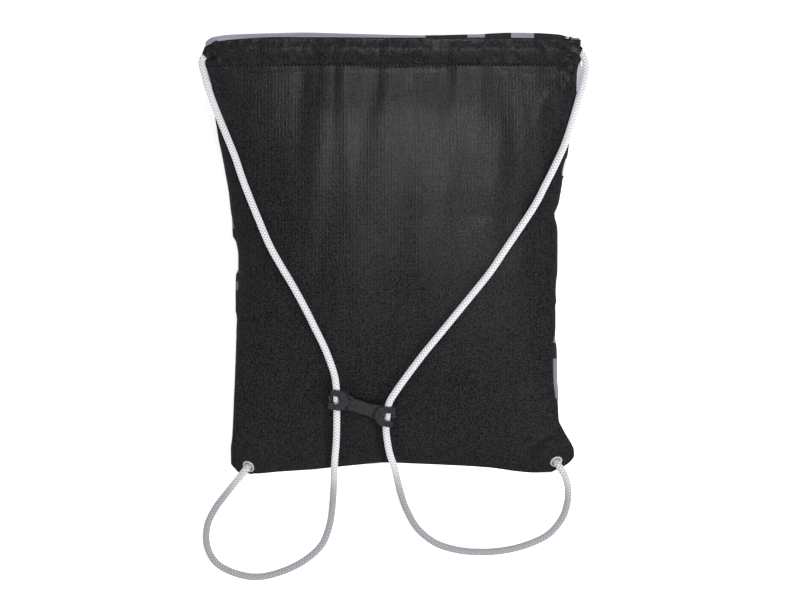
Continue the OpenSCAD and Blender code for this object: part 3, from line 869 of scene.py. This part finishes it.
SLEEVES = {
    "left": [
        (-164, 206.4, 24), (-170, 206.3, 24), (-175.5, 205.4, 24),
        (-179.5, 203.4, 24), (-183, 200.9, 24), (-185.6, 198.4, 24),
    ],
    "right": [
        (165, 206.8, 24), (171, 207, 24), (176.5, 206.8, 24),
        (181, 205.6, 24), (185, 204, 24), (187.8, 202.6, 24),
    ],
}


SLEEVE_SIDES = 56
SLEEVE_PLY = 1.2


def sleeve(name, line):
    """The gathered end of the channels, a soft tube whose rim is turned in round the cord."""
    path = catmull(line, 0.9)[0]
    n = len(path)
    t = np.linspace(0, 1, n)
    side, up = frames_along(path)
    a = 2 * np.pi * np.arange(SLEEVE_SIDES) / SLEEVE_SIDES
    wide = 8.0 - 2.6 * t**2.2
    high = 4.6 + 0.2 * t
    lobes = 0.4 * np.sin(9 * a)[None, :] * step(0.25, 1, t)[:, None] + 0.25 * np.sin(5 * a + 1.3)[None, :]

    def ring(i, grow):
        across_it = (wide[i] + grow + lobes[i]) * np.cos(a)
        up_it = (high[i] + grow + 0.6 * lobes[i]) * np.sin(a)
        return path[i] + across_it[:, None] * side[i] + up_it[:, None] * up[i]

    rings = [ring(i, 0) for i in range(n)]
    tip = path[-1] - path[-2]
    tip /= np.linalg.norm(tip)
    for b in np.radians(np.linspace(30, 180, 6)):
        rings.append(ring(n - 1, SLEEVE_PLY / 2 * (math.cos(b) - 1)) + tip * 0.9 * math.sin(b))
    rings += [ring(i, -SLEEVE_PLY) for i in range(n - 2, n - 9, -1)]
    return joined(name, [np.array(rings)], capped=False)


sleeves = {side: sleeve(f"corner_gather_{side}", line) for side, line in SLEEVES.items()}


RUN_HALF = 166  # how far a run reaches from the middle of the mouth


def run_path(side, back):
    """Where a cord runs inside a channel, from the middle out to one corner."""
    x = SIGN[side] * np.linspace(0, RUN_HALF, 60)
    if back:
        y = np.full_like(x, MOUTH_Y + 12.5)
        z = channel_middle(x) - 0.4 + np.minimum(0, back_folds(x, y) + 0.2)
    else:
        y = np.full_like(x, FRONT_MOUTH_Y + 13.0)
        z = front_mouth(x) + 4.9
    return np.stack([x, y, z], 1)


runs = {}
for name, back in (("cord_run_left", False), ("cord_run_right", True)):
    for side in ("left", "right"):
        path, along = catmull(run_path(side, back), 1.0)
        runs[name, side] = braided_tube(f"{name}_{side}_half", path, along, CORD_D / 2 - 0.2, sides=20)

# ---------------------------------------------------------------- bottom corners


def lathe(name, profile, matrix, segments=72):
    """A turned piece from a closed profile of [radius, height]."""
    a = 2 * np.pi * np.arange(segments) / segments
    r, h = np.array(profile, float).T
    rings = [r[:, None] * np.cos(a), r[:, None] * np.sin(a), np.repeat(h[:, None], segments, 1)]
    points = place(np.stack(rings, -1), matrix)
    faces = quads(len(r) + 1, segments, wrap=True)[:, ::-1] % len(points)
    return mesh_from(name, points, faces.tolist())


EYELET = [
    (6.5, 1.28), *arc(5.75, 1.35, 0.75, 0, 90, 7), *arc(5.1, 1.2, 0.9, 90, 180, 9)[1:],
    (4.2, 0.2), (4.2, -1.9), *arc(4.75, -2.1, 0.55, 180, 300, 6), (5.35, -2.4), (5.2, -2.2), (4.7, -2.0),
    (4.45, -1.6), (4.45, 0.6), (4.9, 1.2),
]
WASHER = [(4.55, -1.25), (6.1, -1.2), *arc(6.05, -1.6, 0.4, 80, -80, 7), (5.2, -1.95), (4.6, -1.9)]
KNOT_CORD_R = 2.25
KNOT_BELOW = 10.3  # under the eyelet, along its axis
PATCH_HALF = 8.3


def trefoil(name, centre, tilt):
    """A small tight knot of the cord."""
    t = np.linspace(0, 2 * np.pi, 180, endpoint=False)
    ring, lobe = 2.95, 1.5
    path = np.stack([
        (ring + lobe * np.cos(3 * t)) * np.cos(2 * t), (ring + lobe * np.cos(3 * t)) * np.sin(2 * t),
        lobe * 1.25 * np.sin(3 * t),
    ], 1)
    path = place(path, tilt) + np.array(centre)
    gaps = np.linalg.norm(np.roll(path, -1, 0) - path, axis=1)
    along = np.concatenate([[0], np.cumsum(gaps)[:-1]])
    return braided_tube(name, path, along, KNOT_CORD_R, sides=20, closed=True)


def reinforcement(name, matrix):
    """A small square of folded cloth under the eyelet, with rounded corners and a hole."""
    count = 72
    a = 2 * np.pi * np.arange(count) / count
    outer = PATCH_HALF / np.power(np.abs(np.cos(a)) ** 4 + np.abs(np.sin(a)) ** 4, 0.25)
    outer = np.where(np.cos(a) > 0, outer, np.minimum(outer, PATCH_HALF))
    rings = []
    hole, flat = np.full(count, 4.55), np.full(count, 5.4)
    section = [(hole, 0.75), (flat, 0.85), (outer - 0.5, 0.85), (outer, 0.0)]
    section += [(outer - 0.5, -0.95), (flat, -0.95), (hole, -0.9)]
    for r, z in section:
        rings.append(np.stack([r * np.cos(a), r * np.sin(a), np.full(count, z)], 1))
    grid = np.array([*rings, rings[0]])
    grid = place(grid, matrix).reshape(grid.shape)
    return joined(name, [grid], capped=False)


eyelets, washers, knots, patches = {}, {}, {}, {}
for side, (eye, turn) in EYES.items():
    matrix = eye_matrix(eye, turn)
    eyelets[side] = lathe(f"eyelet_{side}_turned", EYELET, matrix)
    washers[side] = lathe(f"washer_{side}_turned", WASHER, matrix)
    patches[side] = reinforcement(f"corner_reinforcement_{side}", matrix)
    centre = place([(0, 0, -KNOT_BELOW)], matrix)[0]
    knots[side] = trefoil(f"stop_knot_{side}", centre, Matrix.Rotation(math.radians(turn), 4, "Z"))

# ---------------------------------------------------------------- cord clip

clip_slope = math.radians(CLIP_SLOPE)
span = Vector((CLIP_RIGHT[0] - CLIP_LEFT[0], (CLIP_RIGHT[1] - CLIP_LEFT[1]) / math.cos(clip_slope)))
CLIP_SPAN = span.length
CLIP_TURN = math.atan2(span.y, span.x)
clip_matrix = (
    Matrix.Translation((*CLIP_LEFT, CLIP_LINE_Z + (CLIP_LEFT[1] - CLIP_RIGHT[1]) * math.tan(clip_slope)))
    @ Matrix.Rotation(clip_slope, 4, "X")
    @ Matrix.Rotation(CLIP_TURN, 4, "Z")
)


def prism(outline, low, high):
    """A throwaway solid, in millimetres taken as metres, from an outline of [x, y]."""
    n = len(outline)
    mesh = bpy.data.meshes.new("part")
    points = [(x, y, low) for x, y in outline] + [(x, y, high) for x, y in outline]
    faces = [tuple(range(n))[::-1], tuple(range(n, 2 * n))]
    faces += [(i, (i + 1) % n, (i + 1) % n + n, i + n) for i in range(n)]
    mesh.from_pydata(points, [], faces)
    return link("part", mesh)


END_TURN = math.radians(-11.5)
END_FLAT = 7.4
ARC_IN = 1.6
END_R = 10.4
END_ROUND = 2.2
END_LOW, END_HIGH = -5.4, 5.8
WINDOW_R = 4
TUNNEL_R = 4.5
FINGER = 3.2
TIP_Z = 0.5
CORD_ROOM = 2.4
TIP_R = 2.4
BRIDGE_LOW, BRIDGE_HIGH, RAISED_HIGH = -2.4, 2.0, 3.3
BRIDGE_IN = 4.5  # from the middle of each end
WAIST, BRIDGE_ENDS = 6.2, 8.9  # half widths
RAISED_HALF = 6.1
FAR = 30  # past the clip on any side


def clip_parts():
    """Solids to add and solids to cut away, in the clip's own frame."""
    add, cut = [], []
    along_cords = Matrix.Rotation(-CLIP_TURN, 4, "Z")
    for x, out in ((0, -1), (CLIP_SPAN, 1)):
        at = Matrix.Translation((x, 0, 0))
        end = at @ Matrix.Rotation(END_TURN - CLIP_TURN, 4, "Z")
        tube = at @ along_cords

        def shape(outline, low, high, frame, which, out=out):
            """A prism whose outline has +X outward."""
            points = [(out * px, py) for px, py in outline]
            solid = prism(points if out > 0 else points[::-1], low, high)
            solid.data.transform(frame)
            which.append(solid)

        round_at = END_FLAT - END_ROUND, END_R - END_ROUND
        plate = arc(-ARC_IN, 0, END_R, 90, 270, 33) + arc(round_at[0], -round_at[1], END_ROUND, -90, 0, 9)
        plate += arc(*round_at, END_ROUND, 0, 90, 9)
        shape(plate, END_LOW, END_HIGH, end, add)
        tip_at = END_FLAT - 1
        tip = [(0, -2.6), (tip_at, -TIP_R), *arc(tip_at, 0, TIP_R, -90, 90, 13), (0, 2.6)]
        shape(tip, END_LOW, TIP_Z, end, add)
        window = [*arc(0.7, 0, WINDOW_R, 90, 270, 25), (FAR, -WINDOW_R), (FAR, WINDOW_R)]
        shape(window, TIP_Z, FAR, end, cut)
        cord_way = arc(0, 0, TUNNEL_R, 0, 360, 49)[:-1]
        upright = Matrix.Rotation(math.pi / 2, 4, "X")
        shape(cord_way, -FAR, FAR, tube @ upright, cut)
        roof = arc(CORD_ROOM, 0, TUNNEL_R, math.degrees(0.34), 90, 14)
        room = [(0, -20), (FAR, -20), (FAR, 1.5), *roof, (0, TUNNEL_R)]
        for low, high in ((FINGER, FAR), (-FAR, -FINGER)):
            shape(room, low, high, tube @ upright, cut)
    xs = np.linspace(BRIDGE_IN, CLIP_SPAN - BRIDGE_IN, 40)
    from_middle = np.abs(xs - CLIP_SPAN / 2) / (CLIP_SPAN / 2 - BRIDGE_IN)
    half = WAIST + (BRIDGE_ENDS - WAIST) * from_middle**2.4
    bridge = list(zip(xs, -half)) + list(zip(xs, half))[::-1]
    add.append(prism(bridge, BRIDGE_LOW, BRIDGE_HIGH))
    raised = [
        (12.2, -RAISED_HALF), (CLIP_SPAN - 13.6, -RAISED_HALF), (CLIP_SPAN - 11.6, 0),
        (CLIP_SPAN - 12.2, RAISED_HALF), (12.6, RAISED_HALF), (11.4, 0),
    ]
    add.append(prism(raised, BRIDGE_LOW, RAISED_HIGH))
    return add, cut


def build_clip():
    add, cut = clip_parts()
    body = add[0]
    for other, way in [(o, "UNION") for o in add[1:]] + [(o, "DIFFERENCE") for o in cut]:
        m = body.modifiers.new("bool", "BOOLEAN")
        m.operation, m.object, m.solver = way, other, "EXACT"
    m = body.modifiers.new("remesh", "REMESH")
    m.mode, m.voxel_size = "VOXEL", 0.36
    m = body.modifiers.new("soften", "SMOOTH")
    m.factor, m.iterations = 0.5, 7
    bpy.context.view_layer.update()
    made = bpy.data.meshes.new_from_object(body.evaluated_get(bpy.context.evaluated_depsgraph_get()))
    for o in add + cut:
        bpy.data.objects.remove(o)
    made.transform(Matrix.Scale(MM, 4) @ clip_matrix)
    made.shade_smooth()
    made.materials.clear()
    return link("cord_clip_moulding", made)


clip = build_clip()

# ---------------------------------------------------------------- materials


class Look:
    """A material and short calls for building its nodes."""

    def __init__(self, name, color=(0.5, 0.5, 0.5), rough=0.6, **sockets):
        self.material = bpy.data.materials.new(name)
        self.material.use_nodes = True
        self.tree = self.material.node_tree
        self.shader = self.tree.nodes["Principled BSDF"]
        self.shader.inputs["Base Color"].default_value = (*color, 1)
        self.shader.inputs["Roughness"].default_value = rough
        for key, value in sockets.items():
            self.shader.inputs[key.replace("_", " ")].default_value = value

    def node(self, kind, **settings):
        n = self.tree.nodes.new("ShaderNode" + kind)
        for key, value in settings.items():
            setattr(n, key, value)
        return n

    def put(self, socket, value):
        if isinstance(value, bpy.types.NodeSocket):
            self.tree.links.new(value, socket)
        else:
            socket.default_value = value

    def calc(self, operation, *values, clamp=False):
        n = self.node("Math", operation=operation, use_clamp=clamp)
        for k, value in enumerate(values):
            self.put(n.inputs[k], value)
        return n.outputs[0]

    def times(self, a, b):
        return self.calc("MULTIPLY", a, b)

    def plus(self, a, b):
        return self.calc("ADD", a, b)

    def minus(self, a, b, clamp=False):
        return self.calc("SUBTRACT", a, b, clamp=clamp)

    def split(self, vector):
        n = self.node("SeparateXYZ")
        self.put(n.inputs[0], vector)
        return list(n.outputs)

    def uv(self):
        return self.split(self.node("UVMap").outputs[0])[:2]

    def place(self):
        """The point on the object, in metres."""
        return self.node("TexCoord").outputs["Object"]

    def noise(self, vector, scale, detail=2.0, stretch=None):
        if stretch is not None:
            mapping = self.node("Mapping")
            mapping.inputs["Scale"].default_value = stretch
            self.tree.links.new(vector, mapping.inputs[0])
            vector = mapping.outputs[0]
        n = self.node("TexNoise")
        self.put(n.inputs["Vector"], vector)
        n.inputs["Scale"].default_value = scale
        n.inputs["Detail"].default_value = detail
        return n.outputs["Fac"]

    def ramp(self, factor, stops, interpolation="LINEAR"):
        n = self.node("ValToRGB")
        n.color_ramp.interpolation = interpolation
        elements = n.color_ramp.elements
        while len(elements) > 1:
            elements.remove(elements[-1])
        for k, (at, color) in enumerate(stops):
            e = elements[0] if k == 0 else elements.new(at)
            e.position = at
            e.color = (*color, 1)
        self.put(n.inputs[0], factor)
        return n.outputs[0]

    def mix(self, factor, a, b, blend="MIX"):
        n = self.node("Mix", data_type="RGBA", blend_type=blend)
        self.put(n.inputs[0], factor)
        for socket, value in ((n.inputs[6], a), (n.inputs[7], b)):
            self.put(socket, (*value, 1) if isinstance(value, tuple) and len(value) == 3 else value)
        return n.outputs[2]

    def bump(self, height, distance, strength=1.0, under=None):
        n = self.node("Bump")
        n.inputs["Strength"].default_value = strength
        n.inputs["Distance"].default_value = distance
        self.put(n.inputs["Height"], height)
        if under is not None:
            self.tree.links.new(under, n.inputs["Normal"])
        return n.outputs[0]

    def finish(self, color=None, rough=None, normal=None):
        for key, value in (("Base Color", color), ("Roughness", rough), ("Normal", normal)):
            if value is not None:
                self.tree.links.new(value, self.shader.inputs[key])
        return self.material

    def lines(self, at, pitch, width):
        """1 on thin lines a pitch apart, 0 between; all in metres."""
        far = self.calc("PINGPONG", at, pitch / 2)
        return self.minus(1.0, self.calc("DIVIDE", far, width), clamp=True)


# Spacings of the cloth's thick threads up and across, and of its fine weave, in metres
RIB = 0.0034
RIP = 0.0046
FINE = 0.00055


def weave(look, u, v):
    """Ripstop: fine weave with a grid of thicker threads. Gives (thick threads, height)."""
    rib = look.lines(u, RIB, 0.0007)
    rip = look.lines(v, RIP, 0.0006)
    grid = look.calc("MAXIMUM", rib, look.times(rip, 0.6))
    across_it, up_it = (look.calc("SINE", look.times(at, 2 * math.pi / FINE)) for at in (u, v))
    return grid, look.plus(grid, look.times(look.times(across_it, up_it), 0.12))


def black_cloth():
    look = Look("black_ripstop_cloth", rough=0.44, Specular_IOR_Level=0.36)
    u, v = look.uv()
    grid, height = weave(look, u, v)
    place_at = look.place()
    speckle = look.noise(place_at, 820, 1)
    streak = look.noise(place_at, 1, 3, stretch=(420, 26, 60))
    broad = look.noise(place_at, 13, 3)
    tone = look.plus(look.times(speckle, 0.9), look.times(streak, 0.1))
    color = look.ramp(tone, [(0.42, (0.0011, 0.0011, 0.0013)), (0.58, (0.0205, 0.0196, 0.0222))])
    color = look.mix(look.times(grid, 0.2), color, (0.024, 0.024, 0.027))
    # painted shade in the needle holes of the channel's stitching, which are also made rough
    off_line = look.calc("ABSOLUTE", look.minus(v, STITCH_LINE * MM))
    to_hole = look.calc("PINGPONG", u, STITCH_PITCH * MM / 2)
    hole = look.times(look.calc("LESS_THAN", off_line, 0.0008), look.calc("LESS_THAN", to_hole, 0.0007))
    color = look.mix(hole, color, (0.0008, 0.0008, 0.0008))
    # the channel and the bottom of the bag are duller
    channel = look.calc("MULTIPLY", look.minus(v, 0.181), 22.0, clamp=True)
    bottom = look.calc("MULTIPLY", look.minus(-0.13, v), 16.0, clamp=True)
    duller = look.calc("MAXIMUM", look.times(channel, 0.1), look.times(bottom, 0.32))
    rough = look.plus(look.plus(0.23, look.times(broad, 0.22)), duller)
    rough = look.calc("MAXIMUM", rough, look.times(hole, 0.95))
    under = look.bump(look.noise(place_at, 34, 3, stretch=(1.5, 0.6, 1)), 0.0012, 0.5)
    rumpled = look.noise(place_at, 62, 3, stretch=(1.3, 0.8, 1))
    under = look.bump(look.times(channel, rumpled), 0.006, 0.9, under)
    sparkle = look.plus(look.times(height, 0.7), look.times(speckle, 1.5))
    return look.finish(color, rough, look.bump(sparkle, 0.0002, 0.6, under))


LAVENDER = (0.28, 0.27, 0.335)
LIGHT = (0.38, 0.375, 0.455)
DIM = (0.18, 0.172, 0.215)
PALE = (0.66, 0.66, 0.72)
GREY = (0.11, 0.11, 0.13)
INK = (0.012, 0.012, 0.016)
# Colours of the print where it shows past the back, as [millimetres, colour from there on]
RIM_PRINT = [
    (-225, LIGHT), (33, INK), (74, LIGHT), (92, INK), (118, LIGHT), (142, INK), (174, PALE), (176, INK),
    (179, LIGHT),
]
LEFT_PRINT = [
    (-225, GREY), (-150, INK), (-110, DIM), (-80, INK), (-36, GREY), (-28, INK), (-19, DIM), (14, INK),
    (26, DIM), (70, GREY), (110, INK), (160, LAVENDER),
]
RIGHT_PRINT = [
    (-225, INK), (-145, DIM), (-104.5, INK), (-89, DIM), (-82.5, INK), (-10, GREY), (30, INK), (79, PALE),
    (95, INK), (130, GREY), (163, PALE),
]
PRINT_HALF = 225  # how far the colours above reach from the bag's middle
PRINT_RIM = 0.2135  # metres up the front, where the colours of the rim start
PRINT_MIDDLE, PRINT_INNER = 0.003, 0.1435  # the sides' colours start this far from this line
BLOCK = 0.0165


def printed_cloth():
    look = Look("printed_cloth", rough=0.55, Specular_IOR_Level=0.4, Sheen_Weight=0.15)
    u, v = look.uv()

    def cells(size, seed):
        combine = look.node("CombineXYZ")
        for k, at in enumerate((u, v)):
            look.put(combine.inputs[k], look.calc("FLOOR", look.calc("DIVIDE", at, size)))
        combine.inputs[2].default_value = seed
        white = look.node("TexWhiteNoise", noise_dimensions="3D")
        look.tree.links.new(combine.outputs[0], white.inputs["Vector"])
        return white.outputs["Value"]

    tones = [(0, INK), (0.3, LAVENDER), (0.62, GREY), (0.78, PALE), (0.9, INK)]
    sizes = ((2 * BLOCK, 1.0), (BLOCK, 2.0), (BLOCK / 2, 3.0))
    big, middle, small = (look.ramp(cells(size, seed), tones, "CONSTANT") for size, seed in sizes)
    color = look.mix(look.calc("GREATER_THAN", cells(2 * BLOCK, 4.0), 0.4), big, middle)
    color = look.mix(look.calc("GREATER_THAN", cells(BLOCK, 5.0), 0.72), color, small)

    def strip(at, table):
        share = look.calc("DIVIDE", look.plus(at, PRINT_HALF * MM), 2 * PRINT_HALF * MM)
        stops = [((mm + PRINT_HALF) / (2 * PRINT_HALF), tone) for mm, tone in table]
        return look.ramp(share, stops, "CONSTANT")

    color = look.mix(look.calc("GREATER_THAN", v, PRINT_RIM), color, strip(u, RIM_PRINT))
    from_middle = look.calc("ABSOLUTE", look.minus(u, PRINT_MIDDLE))
    outer = look.calc("GREATER_THAN", from_middle, PRINT_INNER)
    sides = look.mix(look.calc("GREATER_THAN", u, 0.0), strip(v, LEFT_PRINT), strip(v, RIGHT_PRINT))
    below = look.calc("LESS_THAN", v, PRINT_RIM)
    color = look.mix(look.times(outer, below), color, sides)
    speckle = look.noise(look.place(), 900, 2)
    color = look.mix(0.25, color, look.ramp(speckle, [(0.3, (0.75,) * 3), (0.7, (1.25,) * 3)]), "MULTIPLY")
    grid, height = weave(look, u, v)
    return look.finish(color, None, look.bump(height, 0.00014, 0.5))


# points of the cords lower than this, in metres, get painted shade, more the lower they are
PAINTED_SHADE_BELOW = 0.033


def braid_look():
    look = Look("braided_cord", rough=0.62, Specular_IOR_Level=0.4, Sheen_Weight=0.2)
    u, v = look.uv()
    a, b = look.plus(u, v), look.minus(u, v)
    fa, fb = look.calc("FRACT", a), look.calc("FRACT", b)
    sum_ab = look.plus(look.calc("FLOOR", a), look.calc("FLOOR", b))
    odd = look.calc("GREATER_THAN", look.calc("FLOORED_MODULO", sum_ab, 2.0), 0.5)

    def pick(x, y):
        n = look.node("Mix", data_type="FLOAT")
        look.put(n.inputs[0], odd)
        look.put(n.inputs[2], x)
        look.put(n.inputs[3], y)
        return n.outputs[0]

    across_yarn, along_yarn = pick(fa, fb), pick(fb, fa)
    off = look.calc("MULTIPLY_ADD", across_yarn, 2.0, -1.0)
    crown_of = look.calc("SQRT", look.minus(1.0, look.times(off, off), clamp=True))
    hump = look.calc("SINE", look.times(along_yarn, math.pi))
    height = look.times(crown_of, look.calc("MULTIPLY_ADD", hump, 0.55, 0.45))
    fibres = look.calc("SINE", look.times(across_yarn, 2 * math.pi * 4))
    # painted shade: the colour darkens from the yarns' tops down into the gaps between them
    tones = [(0.15, (0.3, 0.31, 0.33)), (0.5, (0.52, 0.53, 0.55)), (0.85, (0.74, 0.75, 0.77))]
    color = look.ramp(height, tones)
    # painted shade: the cord's colour is darker where it lies low, in the loops on the floor
    height_up = look.split(look.place())[2]
    painted_low_shade = look.minus(1.0, look.calc("DIVIDE", height_up, PAINTED_SHADE_BELOW), clamp=True)
    color = look.mix(look.times(painted_low_shade, 0.9), color, (0.27, 0.275, 0.295), "MULTIPLY")
    rough_height = look.plus(height, look.times(fibres, 0.05))
    return look.finish(color, None, look.bump(rough_height, 0.0003, 0.7))


def nickel():
    look = Look("nickel_plate", (0.8, 0.78, 0.74), 0.2, Metallic=0.6)
    place_at = look.place()
    rough = look.plus(0.13, look.times(look.noise(place_at, 900, 3), 0.2))
    return look.finish(None, rough, look.bump(look.noise(place_at, 500, 2), 0.00008, 0.4))


def clip_plastic():
    look = Look("clip_moulding", (0.022, 0.022, 0.024), 0.42, Specular_IOR_Level=0.5)
    place_at = look.place()
    tones = [(0.3, (0.018, 0.018, 0.02)), (0.7, (0.032, 0.032, 0.035))]
    color = look.ramp(look.noise(place_at, 260, 3), tones)
    rough = look.plus(0.34, look.times(look.noise(place_at, 120, 2), 0.2))
    return look.finish(color, rough, look.bump(look.noise(place_at, 2600, 2), 0.00006, 0.5))


def thread(name, dark, light):
    look = Look(name, dark, 0.75, Sheen_Weight=0.2)
    place_at = look.place()
    color = look.ramp(look.noise(place_at, 1500, 2), [(0.3, dark), (0.7, light)])
    fibres = look.noise(place_at, 2400, 1, stretch=(1, 0.3, 1))
    return look.finish(color, None, look.bump(fibres, 0.0001, 0.6))


m_back, m_front, m_cord = black_cloth(), printed_cloth(), braid_look()
m_nickel, m_clip = nickel(), clip_plastic()
m_black_thread = thread("black_thread_look", (0.006, 0.006, 0.007), (0.02, 0.02, 0.022))
m_grey_thread = thread("grey_thread_look", (0.14, 0.135, 0.17), (0.24, 0.23, 0.28))
m_seam = thread("overlock_look", (0.012, 0.012, 0.014), (0.045, 0.045, 0.05))

# ---------------------------------------------------------------- stage and light

FLOOR_HALF = 4000  # in millimetres, like all the meshes
square = [(-1, -1, 0), (1, -1, 0), (1, 1, 0), (-1, 1, 0)]
floor = mesh_from("floor", np.array(square) * FLOOR_HALF, [(0, 1, 2, 3)])
floor_look = Look("studio_floor", (0.92, 0.92, 0.92), 0.9, Specular_IOR_Level=0.0)
floor_look.shader.inputs["Emission Color"].default_value = (1, 1, 1, 1)
floor_look.shader.inputs["Emission Strength"].default_value = 0.5
floor.data.materials.append(floor_look.material)
floor.visible_glossy = False

world = bpy.data.worlds.new("world")
world.use_nodes = True
background = world.node_tree.nodes["Background"]
background.inputs["Color"].default_value = (1, 1, 1, 1)
background.inputs["Strength"].default_value = 0.16
bpy.context.scene.world = world
bpy.context.scene.view_settings.view_transform = "Standard"


def area_light(name, at, to, size, watts, glossy=True):
    data = bpy.data.lights.new(name, "AREA")
    data.size = size
    data.energy = watts
    obj = bpy.data.objects.new(name, data)
    obj.location = at
    obj.visible_glossy = glossy
    obj.rotation_euler = (Vector(to) - Vector(at)).to_track_quat("-Z", "Y").to_euler()
    bpy.context.scene.collection.objects.link(obj)


area_light("key", (2.3, -1.5, 1.7), (0, 0, 0), 0.9, 95, glossy=False)
area_light("fill_left", (-2.6, -0.8, 1.7), (0, 0, 0), 1.4, 66, glossy=False)
area_light("fill_back", (0.6, 3.0, 1.9), (0, 0, 0), 1.4, 48, glossy=False)
area_light("sheen", (0.125, 0.575, 1.33), (0.006, 0.08, 0.06), 0.25, 4.4)
area_light("glow", (0.5, 0.0, 1.3), (0.06, 0, 0.05), 0.9, 1.7)

# ---------------------------------------------------------------- frame


def settle(obj, material, nodes=(), body=None, side=None):
    """Gives a piece its material and hides the CAD nodes it stands for; with a side, bakes its placement
    into its points, else attaches it to a body to ride on.
    """
    obj.data.materials.append(material)
    if side is not None:
        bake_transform(obj)
    else:
        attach(obj, body)
    if nodes:
        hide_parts(*nodes)


for side in ("left", "right"):
    settle(backs[side], m_back, ("back_panel", "back_channel"), side=side)
    settle(fronts[side], m_front, ("front_panel", "front_channel"), side=side)
    settle(back_stitches[side], m_black_thread, ("back_channel_stitching",), side=side)
    settle(front_stitches[side], m_grey_thread, ("front_channel_stitching",), side=side)
    settle(seams[side], m_seam, (f"side_seam_{side}",), side=side)
    settle(cords[side], m_cord, (f"drawcord_{side}",), side=side)
    for name in ("cord_run_left", "cord_run_right"):
        settle(runs[name, side], m_cord, (name,), side=side)
    settle(sleeves[side], m_back, (f"top_corner_{side}",), body=f"mouth_{side}")
    settle(eyelets[side], m_nickel, (f"eyelet_{side}",), body="bag")
    settle(washers[side], m_nickel, (f"washer_{side}",), body="bag")
    settle(patches[side], m_back, (f"corner_patch_{side}",), body="bag")
    settle(knots[side], m_cord, (f"knot_{side}",), body="bag")
settle(bottom_seam, m_seam, ("bottom_seam",), body="bag")
settle(clip, m_clip, ("cord_clip",), body="clip")
